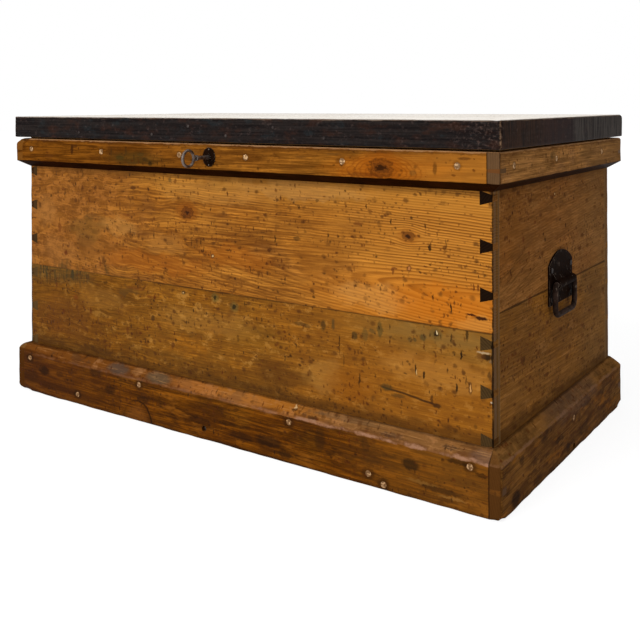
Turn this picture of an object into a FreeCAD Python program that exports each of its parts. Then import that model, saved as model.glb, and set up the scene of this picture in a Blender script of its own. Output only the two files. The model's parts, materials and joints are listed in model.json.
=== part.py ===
"""A dovetailed pine tool coffer with a black-edged plank lid, as separate pieces.

Millimetres. X runs to the right along the front, Y to the back and Z up. The origin is the
middle of the footprint on the floor, at the underside of the middle runner.
"""
import FreeCAD, Part
import os
import re

import Sketcher

V = FreeCAD.Vector
DOC = FreeCAD.newDocument("coffer")

# Driving sizes
SIZES = {
    # the case: eight boards, two to each wall
    "case_width": 960,
    "case_depth": 516,
    "overall_height": 525.7,
    "board_thick": 19,
    "pin_steps": 7,
    "pins_per_board": 3,
    "pin_root_half": 10,
    "pin_tip_half": 4.5,
    "front_seam_share": 0.223,
    "side_seam_share": 0.59,
    # the bottom boards and the runners under them
    "bottom_boards": 5,
    "bottom_thick": 16,
    "tongue_thick": 3.6,
    "tongue_reach": 4,
    "tongue_height_share": 0.7,
    "groove_play": 0.5,
    "runner_thick": 14,
    "runner_width": 45,
    "nail_radius": 1.4,
    "nail_head_radius": 3,
    "nail_head_thick": 1.5,
    "nail_length": 45,
    "nail_spread": 50,
    # the plinth round the foot
    "plinth_thick": 17.5,
    "plinth_height": 88.4,
    "plinth_face_height": 71,
    "plinth_flat": 1.5,
    "plinth_tongue_height": 38,
    "plinth_tongue_root_half": 3,
    "plinth_tongue_tip_half": 4.5,
    # the band under the lid
    "band_thick": 19,
    "band_face": 41.9,
    "band_chamfer": 12,
    "band_tongue_drop": 24.7,
    "band_tongue_root_half": 2,
    "band_tongue_tip_half": 3,
    "lid_gap": 2.7,
    # screws sunk under wooden pellets
    "pellet_radius": 4.75,
    "pellet_thick": 5,
    "screw_head_radius": 4,
    "screw_head_thick": 2.4,
    "screw_radius": 2,
    "screw_length": 30,
    "band_screw_drop": 19.7,
    "plinth_screw_height": 63.5,
    "bottom_screw_share": 0.25,
    "runner_screw_share": 0.57,
    "plinth_side_screw_height": 52,
    # the lid
    "lid_thick": 39.3,
    "lid_past_band": 2,
    "lid_seat_gap": 0.3,
    "batten_width": 60,
    "batten_thick": 18,
    "batten_end_gap": 19,
    "batten_place": 250,
    "batten_screw_length": 40,
    "tack_radius": 1.2,
    "tack_head_radius": 2.4,
    "tack_head_thick": 0.8,
    "tack_length": 12,
    "tack_upper_share": 0.65,
    "tack_lower_share": 0.28,
    # the butt hinges
    "hinge_place": 300,
    "hinge_length": 76,
    "knuckle_radius": 4,
    "knuckle_gap": 0.3,
    "knuckle_count": 5,
    "hinge_pin_radius": 2,
    "leaf_thick": 2.4,
    "leaf_gap": 0.1,
    "leaf_reach": 14,
    "leaf_screw_inset": 4.5,
    "leaf_screw_spread": 24,
    "leaf_screw_head_radius": 3.6,
    "leaf_screw_head_thick": 1.2,
    "leaf_screw_length": 22,
    # the lock, its key and its link plate
    "lock_offset": -3,
    "lock_width": 80,
    "lock_thick": 12,
    "lock_below": 24.5,
    "lock_wall": 1.6,
    "lock_let_in": 0.2,
    "selvedge_thick": 2,
    "selvedge_ear": 6,
    "lock_plate_rim": 10,
    "lock_plate_drop": 4,
    "lock_screw_inset": 4,
    "lock_screw_radius": 1.6,
    "lock_screw_head_radius": 3,
    "lock_screw_head_thick": 1.2,
    "lock_screw_length": 10,
    "bolt_thick": 4,
    "bolt_rail_rise": 6.7,
    "bolt_rail_height": 5.6,
    "bolt_tongue_rise": 2.8,
    "bolt_tongue_height": 4.2,
    "bolt_left": 30,
    "bolt_right": 22,
    "bolt_post": 4,
    "bolt_post_place": 2,
    "bolt_link_play": 1.5,
    "talon_left": 15,
    "talon_right": 6.5,
    "talon_height": 3.4,
    "lug_width": 6,
    "lug_left": 24,
    "lug_right": 12,
    "lug_height": 2.2,
    "spring_thick": 0.6,
    "spring_wide": 2.2,
    "spring_tab": 4,
    "spring_slope": 5,
    "bolt_gap": 0.1,
    "key_shank_radius": 3.1,
    "key_reach": 9.5,
    "key_bit_thick": 3,
    "key_bit_step": 3,
    "key_play": 0.2,
    "key_stand_out": 31.5,
    "key_neck": 1.5,
    "key_neck_radius": 2,
    "key_bow_radius": 12.6,
    "key_wire_radius": 2.4,
    "key_collar_radius": 4.6,
    "key_collar_length": 4,
    "barrel_radius": 7,
    "journal_radius": 6,
    "rear_journal_radius": 4,
    "running_gap": 0.06,
    "keyhole_ease": 1.1,
    "keyhole_spare": 0.7,
    "scutcheon_height": 31,
    "scutcheon_width": 26,
    "scutcheon_thick": 1.5,
    "scutcheon_pin_radius": 0.8,
    "scutcheon_pin_inset": 2.9,
    "scutcheon_pin_length": 8,
    "link_place": 16,
    "link_thick": 3,
    "link_web": 1.6,
    "link_foot": 2,
    "link_drop": 11.4,
    "link_clear": 0.4,
    "link_play": 0.6,
    "link_plate_length": 60,
    "link_plate_width": 17,
    "link_plate_thick": 2,
    "link_screw_inset": 5,
    "link_screw_radius": 1.6,
    "link_screw_length": 14,
    # the two side handles
    "handle_height_share": 0.524,
    "handle_plate_width": 104,
    "handle_plate_thick": 3,
    "handle_plate_drop": 32,
    "handle_plate_rise": 48.5,
    "handle_arch_radius": 80,
    "handle_axis_out": 9,
    "handle_barrel_radius": 6.5,
    "handle_barrel_length": 74,
    "hood_top": 21,
    "hood_bottom": 12,
    "bail_rod_radius": 4.2,
    "bail_side_gap": 2.8,
    "bail_drop": 47,
    "bail_end": 18,
    "bail_top_bend": 7,
    "bail_foot_bend": 13,
    "handle_screw_inset": 9,
    "handle_screw_rise": 22,
    "handle_screw_drop": 23,
    "handle_screw_radius": 2.2,
    "handle_screw_head_radius": 4,
    "handle_screw_head_thick": 1.4,
    "handle_screw_length": 17,
    # how far a cut runs past what it cuts
    "overrun": 5,
}

# Places worked out from the driving sizes
PLACES = {
    "case_right": "case_width / 2",
    "case_back": "case_depth / 2",
    "inner_right": "case_right - board_thick",
    "inner_back": "case_back - board_thick",
    "case_bottom": "runner_thick + bottom_thick",
    "lid_bottom": "overall_height - lid_thick",
    "case_top": "lid_bottom - lid_seat_gap",
    "joint_pitch": "(case_top - case_bottom) / pin_steps",
    "front_seam": "case_bottom + (pins_per_board + front_seam_share) * joint_pitch",
    "side_seam": "case_bottom + (pins_per_board + side_seam_share) * joint_pitch",
    "bottom_board_width": "case_width / bottom_boards",
    "tongue_height": "runner_thick + bottom_thick * tongue_height_share",
    "plinth_screw_low": "runner_thick + bottom_thick * bottom_screw_share",
    "runner_screw_height": "runner_thick * runner_screw_share",
    "band_top": "lid_bottom - lid_gap",
    "band_face_foot": "band_top - band_face",
    "band_foot": "band_face_foot - band_chamfer",
    "band_screw_height": "band_top - band_screw_drop",
    "band_tongue_height": "band_top - band_tongue_drop",
    "band_screw_reach": "screw_length + pellet_thick - band_thick",
    "plinth_screw_reach": "screw_length + pellet_thick - plinth_thick",
    "band_out": "case_back + band_thick",
    "band_side_out": "case_right + band_thick",
    "plinth_out": "case_back + plinth_thick",
    "plinth_side_out": "case_right + plinth_thick",
    "lid_out": "band_out + lid_past_band",
    "lid_side_out": "band_side_out + lid_past_band",
    "tack_upper": "lid_bottom + lid_thick * tack_upper_share",
    "tack_lower": "lid_bottom + lid_thick * tack_lower_share",
    "batten_foot": "lid_bottom - batten_thick",
    "batten_end": "inner_back - batten_end_gap",
    "hinge_out": "lid_out + knuckle_radius + knuckle_gap",
    "hinge_height": "lid_bottom - lid_gap / 2",
    "leaf_front": "case_back - leaf_reach",
    "leaf_screw_line": "leaf_front + leaf_screw_inset",
    "case_leaf_top": "hinge_height - leaf_gap / 2",
    "case_leaf_foot": "case_leaf_top - leaf_thick",
    "lid_leaf_foot": "hinge_height + leaf_gap / 2",
    "lid_leaf_top": "lid_leaf_foot + leaf_thick",
    "knuckle_length": "hinge_length / knuckle_count",
    "link_low": "lid_bottom - link_drop",
    "bolt_rail_top": "link_low - link_clear",
    "bolt_foot": "bolt_rail_top - bolt_rail_height",
    "bolt_tongue_foot": "bolt_rail_top + bolt_tongue_rise",
    "bolt_tongue_top": "bolt_tongue_foot + bolt_tongue_height",
    "key_height": "bolt_foot - bolt_rail_rise",
    "lock_front": "inner_back + lock_thick",
    "lock_foot": "key_height - lock_below",
    "lock_roof": "case_top - selvedge_thick",
    "lock_plate_foot": "lock_foot - lock_plate_drop",
    "lock_plate_half": "lock_width / 2 + lock_plate_rim",
    "link_middle": "inner_back + (lock_thick - lock_wall) / 2",
    "bolt_front": "link_middle + bolt_thick / 2",
    "bolt_back": "link_middle - bolt_thick / 2",
    "spring_rise": "bolt_back - inner_back - spring_thick - bolt_gap",
    "link_hole_half": "bolt_thick / 2 + link_play",
    "link_half": "link_hole_half + link_web",
    "link_screw_place": "link_plate_length / 2 - link_screw_inset",
    "key_tip": "inner_back + 2 * key_play",
    "bit_back": "key_tip + lock_wall",
    "bit_front": "lock_front - lock_wall - 2 * key_play",
    "keyhole_radius": "key_shank_radius + keyhole_ease",
    "keyhole_slot": "key_bit_thick + 2 * keyhole_spare",
    "scutcheon_pin_place": "scutcheon_height / 2 - scutcheon_pin_inset",
    "scutcheon_out": "band_out + scutcheon_thick",
    "key_bow_near": "scutcheon_out + key_stand_out",
    "key_bow_middle": "key_bow_near + key_neck + key_wire_radius + key_bow_radius",
    "handle_height": "case_bottom + handle_height_share * (case_top - case_bottom)",
    "handle_axis": "case_right + handle_axis_out",
    "handle_plate_out": "case_right + handle_plate_thick",
    "handle_plate_low": "handle_height - handle_plate_drop",
    "handle_plate_top": "handle_height + handle_plate_rise",
    "handle_screw_place": "handle_plate_width / 2 - handle_screw_inset",
    "handle_screw_high": "handle_height + handle_screw_rise",
    "handle_screw_low": "handle_height - handle_screw_drop",
    "bail_half_width": "handle_barrel_length / 2 + bail_rod_radius + bail_side_gap",
}

# Places along a wall as shares of its half length
BAND_FRONT_SHARES = (-0.945, -0.540, -0.145, 0.151, 0.528, 0.911)
BAND_SIDE_SHARES = (-0.891, -0.249, 0.62)
PLINTH_TOP_SHARES = (-0.963, -0.350, 0.320, 0.944)
PLINTH_LOW_SHARES = (-0.680, 0.614)
PLINTH_BARE_SHARES = (-0.038,)
RUNNER_SCREW_SHARES = (0.667,)
PLINTH_SIDE_SHARES = (0.054,)
BATTEN_SCREW_SHARES = (-0.82, -0.27, 0.27, 0.82)
TACK_UPPER_SHARES = (-0.470, -0.098, 0.269)
TACK_LOWER_SHARES = (-0.656, -0.271, 0.072, 0.466)

NODES = []
SHEETS = {}


def fill_sheet(name, rows):
    """Writes a sheet of named cells: a label beside each value."""
    sheet = DOC.addObject("Spreadsheet::Sheet", name)
    SHEETS[name] = rows
    for row, (alias, content) in enumerate(rows.items(), start=1):
        sheet.set(f"A{row}", alias)
        sheet.setAlias(f"B{row}", alias)
        sheet.set(f"B{row}", f"={bound(content)}" if name == "Places" else str(content))
    DOC.recompute()
    return sheet


def bound(text):
    """The expression with each name given its sheet."""
    def named(match):
        word = match.group(0)
        owner = next((sheet for sheet, rows in SHEETS.items() if word in rows), None)
        return f"{owner}.{word}" if owner else word

    return re.sub(r"[A-Za-z_]+", named, str(text))


def value(text):
    """The number that an expression comes to."""
    return float(SIZE_SHEET.evalExpression(bound(text)))


def count(text):
    return int(round(value(text)))


# Sketches, pads and cuts
PLANES = {"front": "XZ_Plane", "side": "YZ_Plane", "plan": "XY_Plane"}


def new_body(label):
    """A piece of its own, whose label names its file."""
    body = DOC.addObject("PartDesign::Body", label)
    body.Label = label
    NODES.append(body)
    return body


def origin_part(body, role):
    return next(item for item in body.Origin.OriginFeatures if item.Role == role)


def sketch(body, plane, away="0"):
    """A sketch facing the front (-Y), the right side (+X) or up, moved out by away."""
    drawing = body.newObject("Sketcher::SketchObject", f"{body.Label}_sketch")
    drawing.AttachmentSupport = (origin_part(body, PLANES[plane]), "")
    drawing.MapMode = "FlatFace"
    drawing.setExpression("AttachmentOffset.Base.z", bound(away))
    return drawing


def fix_point(drawing, element, point, place):
    """Ties a point of the sketch to its place, across and up from the origin."""
    for kind, text in zip(("DistanceX", "DistanceY"), place):
        tie = Sketcher.Constraint(kind, -1, 1, element, point, value(text))
        drawing.setExpression(f"Constraints[{drawing.addConstraint(tie)}]", bound(text))


def outline(drawing, corners):
    """A closed outline of straight edges through corners given as expressions."""
    points = [V(value(across), value(up), 0) for across, up in corners]
    first = drawing.GeometryCount
    edges = zip(points, points[1:] + points[:1])
    drawing.addGeometry([Part.LineSegment(a, b) for a, b in edges], False)
    for step, corner in enumerate(corners):
        after = first + (step + 1) % len(corners)
        drawing.addConstraint(Sketcher.Constraint("Coincident", first + step, 2, after, 1))
        fix_point(drawing, first + step, 1, corner)
    return drawing


def oblong(drawing, left, right, low, high):
    return outline(drawing, [(left, low), (right, low), (right, high), (left, high)])


def disc(drawing, place, radius):
    """A circle about a place, with its radius as an expression."""
    middle = V(value(place[0]), value(place[1]), 0)
    ring = drawing.addGeometry(Part.Circle(middle, V(0, 0, 1), value(radius)), False)
    fix_point(drawing, ring, 3, place)
    tie = Sketcher.Constraint("Radius", ring, value(radius))
    drawing.setExpression(f"Constraints[{drawing.addConstraint(tie)}]", bound(radius))
    return drawing


def discs(drawing, places, radius):
    for place in places:
        disc(drawing, place, radius)
    return drawing


def pad(body, drawing, length, inward=False, middle=False):
    """Adds material from the sketch: outward, inward or to both sides alike."""
    feature = body.newObject("PartDesign::Pad", f"{body.Label}_pad")
    feature.Profile = drawing
    feature.setExpression("Length", bound(length))
    feature.Reversed = inward
    feature.Midplane = middle
    return feature


def cut(body, drawing, depth=None, outward=False):
    """Takes material away to a depth, or right through both ways if none is given."""
    feature = body.newObject("PartDesign::Pocket", f"{body.Label}_cut")
    feature.Profile = drawing
    if depth is None:
        feature.Type = "ThroughAll"
        feature.Midplane = True
    else:
        feature.setExpression("Length", bound(depth))
        feature.Reversed = outward
    return feature


def repeat_up(body, feature, copies, pitch):
    """Repeats a feature upwards at a steady pitch."""
    pattern = body.newObject("PartDesign::LinearPattern", f"{body.Label}_row")
    pattern.Originals = [feature]
    pattern.Direction = (origin_part(body, "Z_Axis"), [""])
    pattern.setExpression("Length", bound(f"({copies} - 1) * {pitch}"))
    pattern.setExpression("Occurrences", bound(copies))
    body.Tip = pattern
    return pattern


# Joints between the boards
SIDES = {"left": "-1", "right": "1"}
LEVELS = ("lower", "upper")


def pin_outline(drawing, side, height, roots=("-", "+")):
    """A dovetail pin's end: wide at its root, narrow at the case's outer face.

    roots says which halves it has, so a half pin at an edge has one slanted side.
    """
    half = {"-": (f"{height} - pin_root_half", f"{height} - pin_tip_half"),
            "+": (f"{height} + pin_root_half", f"{height} + pin_tip_half")}
    low_root, low_tip = half["-"] if "-" in roots else (height, height)
    high_root, high_tip = half["+"] if "+" in roots else (height, height)
    inner = f"{side} * inner_right"
    outer = f"{side} * case_right"
    return outline(drawing, [(inner, low_root), (outer, low_tip),
                             (outer, high_tip), (inner, high_root)])


def level_range(level, seam):
    return ("case_bottom", seam) if level == "lower" else (seam, "case_top")


def first_pin(level):
    step = "1" if level == "lower" else "(pins_per_board + 1)"
    return f"(case_bottom + {step} * joint_pitch)"


def edge_pin(level):
    """The half pin at the case's bottom or top edge."""
    return ("case_bottom", "+") if level == "lower" else ("case_top", "-")


def places_along(shares, half_length, height):
    return [(f"{share} * {half_length}", height) for share in shares]


def build_wall_board(wall, level):
    """A front or back board, with sockets at both ends for the side boards' pins."""
    low, high = level_range(level, "front_seam")
    front = wall == "front"
    body = new_body(f"{wall}_board_{level}")
    face = "case_back" if front else "-1 * case_back"
    pad(body, oblong(sketch(body, "front", face), "-1 * case_right", "case_right", low, high),
        "board_thick", inward=front)
    sockets = sketch(body, "front")
    half_sockets = sketch(body, "front")
    edge, half = edge_pin(level)
    for side in SIDES.values():
        pin_outline(sockets, side, first_pin(level))
        pin_outline(half_sockets, side, edge, half)
    repeat_up(body, cut(body, sockets), "pins_per_board", "joint_pitch")
    cut(body, half_sockets)
    if level == "upper":
        screws = places_along(BAND_FRONT_SHARES, "case_right", "band_screw_height")
        drill(body, "front", face, screws, "screw_radius", "band_screw_reach", front)
    else:
        screws = places_along(PLINTH_TOP_SHARES, "case_right", "plinth_screw_height")
        drill(body, "front", face, screws, "screw_radius", "plinth_screw_reach", front)
        cut(body, discs(sketch(body, "plan", "case_bottom"), nail_places(wall), "nail_radius"),
            "nail_length - bottom_thick", outward=True)
    return body


def drill(body, plane, face, places, radius, depth, from_outside):
    """Holes into a face; from_outside says whether the face looks along the plane's normal."""
    if places:
        cut(body, discs(sketch(body, plane, face), places, radius), depth,
            outward=not from_outside)


def build_side_board(side_name, level):
    """A side board, with pins at both ends."""
    low, high = level_range(level, "side_seam")
    side = SIDES[side_name]
    body = new_body(f"{side_name}_board_{level}")
    core = oblong(sketch(body, "front"), f"{side} * inner_right", f"{side} * case_right", low, high)
    pad(body, core, "2 * inner_back", middle=True)
    pin = pad(body, pin_outline(sketch(body, "front"), side, first_pin(level)),
              "case_depth", middle=True)
    repeat_up(body, pin, "pins_per_board", "joint_pitch")
    edge, half = edge_pin(level)
    pad(body, pin_outline(sketch(body, "front"), side, edge, half), "case_depth", middle=True)
    if level == "upper":
        places = places_along(BAND_SIDE_SHARES, "case_back", "band_screw_height")
        reach = "band_screw_reach"
    else:
        places = places_along(PLINTH_SIDE_SHARES, "case_back", "plinth_side_screw_height")
        reach = "plinth_screw_reach"
    drill(body, "side", f"{side} * case_right", places, "screw_radius", reach,
          side_name == "right")
    heights = ["handle_screw_low"] if level == "lower" else ["handle_screw_high"]
    drill(body, "side", f"{side} * case_right", handle_screw_places(heights),
          "handle_screw_radius", "handle_screw_length - handle_plate_thick",
          side_name == "right")
    return body


# The bottom
def bottom_edges(number):
    left = f"(-1 * case_right + {number} * bottom_board_width)"
    return left, f"(-1 * case_right + {number + 1} * bottom_board_width)"


def nail_places(wall):
    """Two nails through each bottom board into the wall's lower edge."""
    line = f"{'-1' if wall == 'front' else '1'} * (case_back - board_thick / 2)"
    places = []
    for number in range(count("bottom_boards")):
        left, right = bottom_edges(number)
        for sign in ("-", "+"):
            places.append((f"({left} + {right}) / 2 {sign} nail_spread", line))
    return places


def build_bottom_board(number):
    """A board from front to back, tongued on its right edge and grooved on its left."""
    body = new_body(f"bottom_board_{number + 1}")
    left, right = bottom_edges(number)
    low, high = "tongue_height - tongue_thick / 2", "tongue_height + tongue_thick / 2"
    corners = [(left, "runner_thick"), (right, "runner_thick")]
    if number < count("bottom_boards") - 1:
        tip = f"{right} + tongue_reach"
        corners += [(right, low), (tip, low), (tip, high), (right, high)]
    corners += [(right, "case_bottom"), (left, "case_bottom")]
    if number > 0:
        floor = f"{left} + tongue_reach + groove_play"
        corners += [(left, high), (floor, high), (floor, low), (left, low)]
    pad(body, outline(sketch(body, "front"), corners), "case_depth", middle=True)
    inside = [place for wall in ("front", "back") for place in nail_places(wall)
              if value(left) < value(place[0]) < value(right)]
    cut(body, discs(sketch(body, "plan", "runner_thick"), inside, "nail_radius"),
        "bottom_thick", outward=True)
    cut(body, discs(sketch(body, "plan", "runner_thick"), inside, "nail_head_radius"),
        "nail_head_thick", outward=True)
    low_screws = places_along(PLINTH_LOW_SHARES + PLINTH_BARE_SHARES, "case_right",
                              "plinth_screw_low")
    ends = [place for place in low_screws if value(left) < value(place[0]) < value(right)]
    for front in (True, False):
        drill(body, "front", "case_back" if front else "-1 * case_back", ends,
              "screw_radius", "plinth_screw_reach", front)


def build_nails():
    """Cut nails through the bottom boards into the front and back walls."""
    body = new_body("bottom_nails")
    places = nail_places("front") + nail_places("back")
    pad(body, discs(sketch(body, "plan", "runner_thick"), places, "nail_head_radius"),
        "nail_head_thick")
    pad(body, discs(sketch(body, "plan", "runner_thick"), places, "nail_radius"), "nail_length")


def build_runner(name, middle):
    """A strip under the bottom boards that keeps them off the floor."""
    body = new_body(f"runner_{name}")
    strip = oblong(sketch(body, "plan"), "-1 * case_right", "case_right",
                   f"{middle} - runner_width / 2", f"{middle} + runner_width / 2")
    pad(body, strip, "runner_thick")
    if name != "middle":
        front = name == "front"
        places = places_along(RUNNER_SCREW_SHARES, "case_right", "runner_screw_height")
        drill(body, "front", "case_back" if front else "-1 * case_back", places,
              "screw_radius", "plinth_screw_reach", front)
    else:
        places = places_along(PLINTH_SIDE_SHARES, "case_back", "runner_screw_height")
        for side_name, side in SIDES.items():
            drill(body, "side", f"{side} * case_right", places, "screw_radius",
                  "plinth_screw_reach", side_name == "right")


# The plinth and the band: each has a section, a waste wedge past its slope and one thin tongue
MOULDINGS = {
    "plinth": {
        "out": "plinth_thick",
        "section": [("0", "0"), ("plinth_thick", "0"), ("plinth_thick", "plinth_face_height"),
                    ("plinth_flat", "plinth_height"), ("0", "plinth_height")],
        "waste": [("plinth_thick", "plinth_face_height"), ("plinth_flat", "plinth_height"),
                  ("plinth_flat", "plinth_height + overrun"),
                  ("plinth_thick + overrun", "plinth_height + overrun"),
                  ("plinth_thick + overrun", "plinth_face_height")],
        "low": "0 - overrun",
        "high": "plinth_height + overrun",
        "tongue": ("plinth_tongue_height", "plinth_tongue_root_half", "plinth_tongue_tip_half"),
    },
    "band": {
        "out": "band_thick",
        "section": [("0", "band_foot"), ("band_thick", "band_face_foot"),
                    ("band_thick", "band_top"), ("0", "band_top")],
        "waste": [("band_thick", "band_face_foot"), ("0", "band_foot"),
                  ("0", "band_foot - overrun"), ("band_thick + overrun", "band_foot - overrun"),
                  ("band_thick + overrun", "band_face_foot")],
        "low": "band_foot - overrun",
        "high": "band_top + overrun",
        "tongue": ("band_tongue_height", "band_tongue_root_half", "band_tongue_tip_half"),
    },
}


def from_wall(points, sign, wall):
    """Turns places counted outward from a wall's face into places from the origin."""
    return [(f"{sign} * ({wall} + {out})", up) for out, up in points]


def fixings(kind, along_front):
    """Where a moulding's screws stand: places under pellets, and places left bare."""
    if kind == "band" and along_front:
        return places_along(BAND_FRONT_SHARES, "case_right", "band_screw_height"), []
    if kind == "band":
        return places_along(BAND_SIDE_SHARES, "case_back", "band_screw_height"), []
    if along_front:
        covered = (places_along(PLINTH_TOP_SHARES, "case_right", "plinth_screw_height")
                   + places_along(PLINTH_LOW_SHARES, "case_right", "plinth_screw_low")
                   + places_along(RUNNER_SCREW_SHARES, "case_right", "runner_screw_height"))
        return covered, places_along(PLINTH_BARE_SHARES, "case_right", "plinth_screw_low")
    return (places_along(PLINTH_SIDE_SHARES, "case_back", "plinth_side_screw_height"),
            places_along(PLINTH_SIDE_SHARES, "case_back", "runner_screw_height"))


def drill_moulding(body, kind, plane, out, outside):
    """Sinks each screw: a pellet's pocket with the head at its floor, and a shank hole."""
    covered, bare = fixings(kind, plane == "front")
    drill(body, plane, out, covered + bare, "pellet_radius", "pellet_thick + screw_head_thick",
          outside)
    drill(body, plane, out, covered + bare, "screw_radius", MOULDINGS[kind]["out"], outside)


def build_long_moulding(kind, wall):
    """The front or back piece, with a thin tongue between the side pieces' broad pins."""
    form = MOULDINGS[kind]
    front = wall == "front"
    sign = "-1" if front else "1"
    body = new_body(f"{kind}_{wall}")
    section = outline(sketch(body, "side"), from_wall(form["section"], sign, "case_back"))
    pad(body, section, f"2 * (case_right + {form['out']})", middle=True)
    height, root, tip = form["tongue"]
    waste = sketch(body, "front")
    for side in SIDES.values():
        inner = f"{side} * case_right"
        outer = f"{side} * (case_right + {form['out']})"
        past = f"{side} * (case_right + {form['out']} + overrun)"
        outline(waste, [(inner, form["low"]), (past, form["low"]), (past, f"{height} - {tip}"),
                        (outer, f"{height} - {tip}"), (inner, f"{height} - {root}")])
        outline(waste, [(inner, f"{height} + {root}"), (outer, f"{height} + {tip}"),
                        (past, f"{height} + {tip}"), (past, form["high"]),
                        (inner, form["high"])])
    cut(body, waste)
    out = f"{'1' if front else '-1'} * (case_back + {form['out']})"
    drill_moulding(body, kind, "front", out, front)
    return body


def build_short_moulding(kind, side_name):
    """A side piece, with broad pins at both ends and a slot for the long piece's tongue."""
    form = MOULDINGS[kind]
    side = SIDES[side_name]
    body = new_body(f"{kind}_{side_name}")
    section = outline(sketch(body, "front"), from_wall(form["section"], side, "case_right"))
    pad(body, section, f"2 * (case_back + {form['out']})", middle=True)
    ends = sketch(body, "side")
    for sign in ("-1", "1"):
        outline(ends, from_wall(form["waste"], sign, "case_back"))
    cut(body, ends)
    height, root, tip = form["tongue"]
    inner = f"{side} * case_right"
    outer = f"{side} * (case_right + {form['out']})"
    for sign, outward in (("1", False), ("-1", True)):
        slot = sketch(body, "front", f"{sign} * (case_back + {form['out']})")
        outline(slot, [(inner, f"{height} - {root}"), (outer, f"{height} - {tip}"),
                       (outer, f"{height} + {tip}"), (inner, f"{height} + {root}")])
        cut(body, slot, form["out"], outward=outward)
    drill_moulding(body, kind, "side", outer, side_name == "right")
    return body


def build_fixings(kind):
    """The moulding's sunk screws, and the wooden pellets over them."""
    out = MOULDINGS[kind]["out"]
    screws = new_body(f"{kind}_screws")
    pellets = new_body(f"{kind}_pellets")
    for plane, wall in (("front", "case_back"), ("side", "case_right")):
        covered, bare = fixings(kind, plane == "front")
        for sign, inward in (("1", True), ("-1", False)):
            face = f"{sign} * ({wall} + {out})"
            seat = f"{sign} * ({wall} + {out} - pellet_thick)"
            pad(pellets, discs(sketch(pellets, plane, face), covered, "pellet_radius"),
                "pellet_thick", inward=inward)
            pad(screws, discs(sketch(screws, plane, seat), covered + bare, "screw_head_radius"),
                "screw_head_thick", inward=inward)
            pad(screws, discs(sketch(screws, plane, seat), covered + bare, "screw_radius"),
                "screw_length", inward=inward)


# The lid
def batten_screw_places(side):
    return [(f"{side} * batten_place", f"{share} * batten_end") for share in BATTEN_SCREW_SHARES]


def build_lid_plank(half):
    """One of the lid's two planks, which meet along the lid's middle line."""
    body = new_body(f"lid_plank_{half}")
    front = half == "front"
    near, far = ("-1 * lid_out", "0") if front else ("0", "lid_out")
    plank = oblong(sketch(body, "plan", "lid_bottom"), "-1 * lid_side_out", "lid_side_out",
                   near, far)
    pad(body, plank, "lid_thick")
    screws = [place for side in SIDES.values() for place in batten_screw_places(side)
              if (value(place[1]) < 0) == front]
    cut(body, discs(sketch(body, "plan", "lid_bottom"), screws, "screw_radius"),
        "batten_screw_length - batten_thick", outward=True)
    if front:
        for places in tack_places():
            drill(body, "front", "lid_out", places, "tack_radius", "tack_length", True)
        plate = oblong(sketch(body, "plan", "lid_bottom"), "lock_offset - link_plate_length / 2",
                       "lock_offset + link_plate_length / 2",
                       "-1 * link_middle - link_plate_width / 2",
                       "-1 * link_middle + link_plate_width / 2")
        cut(body, plate, "link_plate_thick", outward=True)
        cut(body, discs(sketch(body, "plan", "lid_bottom"), link_screw_places(),
                        "link_screw_radius"), "link_screw_length", outward=True)
    else:
        recess = sketch(body, "plan", "lid_bottom")
        for side in SIDES.values():
            left, right = leaf_ends(side)
            oblong(recess, left, right, "leaf_front", "lid_out")
        cut(body, recess, "lid_leaf_top - lid_bottom", outward=True)
        cut(body, discs(sketch(body, "plan", "lid_bottom"), leaf_screw_places(),
                        "screw_radius"), "leaf_screw_length", outward=True)
    return body


def tack_places():
    return (places_along(TACK_UPPER_SHARES, "case_right", "tack_upper"),
            places_along(TACK_LOWER_SHARES, "case_right", "tack_lower"))


def build_lid_tacks():
    """The rusty tacks left in the lid's front edge."""
    body = new_body("lid_edge_tacks")
    for places in tack_places():
        pad(body, discs(sketch(body, "front", "lid_out"), places, "tack_head_radius"),
            "tack_head_thick")
        pad(body, discs(sketch(body, "front", "lid_out"), places, "tack_radius"), "tack_length",
            inward=True)


def build_batten(side_name):
    """A cross batten that ties the planks and drops inside the case."""
    side = SIDES[side_name]
    body = new_body(f"lid_batten_{side_name}")
    bar = oblong(sketch(body, "plan", "batten_foot"),
                 f"{side} * batten_place - batten_width / 2",
                 f"{side} * batten_place + batten_width / 2",
                 "-1 * batten_end", "batten_end")
    pad(body, bar, "batten_thick")
    places = batten_screw_places(side)
    cut(body, discs(sketch(body, "plan", "batten_foot"), places, "screw_radius"),
        "batten_thick", outward=True)
    cut(body, discs(sketch(body, "plan", "batten_foot"), places, "screw_head_radius"),
        "screw_head_thick", outward=True)


def build_batten_screws():
    body = new_body("lid_batten_screws")
    places = [place for side in SIDES.values() for place in batten_screw_places(side)]
    pad(body, discs(sketch(body, "plan", "batten_foot"), places, "screw_head_radius"),
        "screw_head_thick")
    pad(body, discs(sketch(body, "plan", "batten_foot"), places, "screw_radius"),
        "batten_screw_length")


# The hinges
def leaf_ends(side):
    middle = f"{side} * hinge_place"
    return f"({middle} - hinge_length / 2)", f"({middle} + hinge_length / 2)"


def leaf_screw_places(sides=("-1", "1")):
    return [(f"{side} * hinge_place + {step}", "leaf_screw_line") for side in sides
            for step in ("-1 * leaf_screw_spread", "0", "leaf_screw_spread")]


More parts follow.
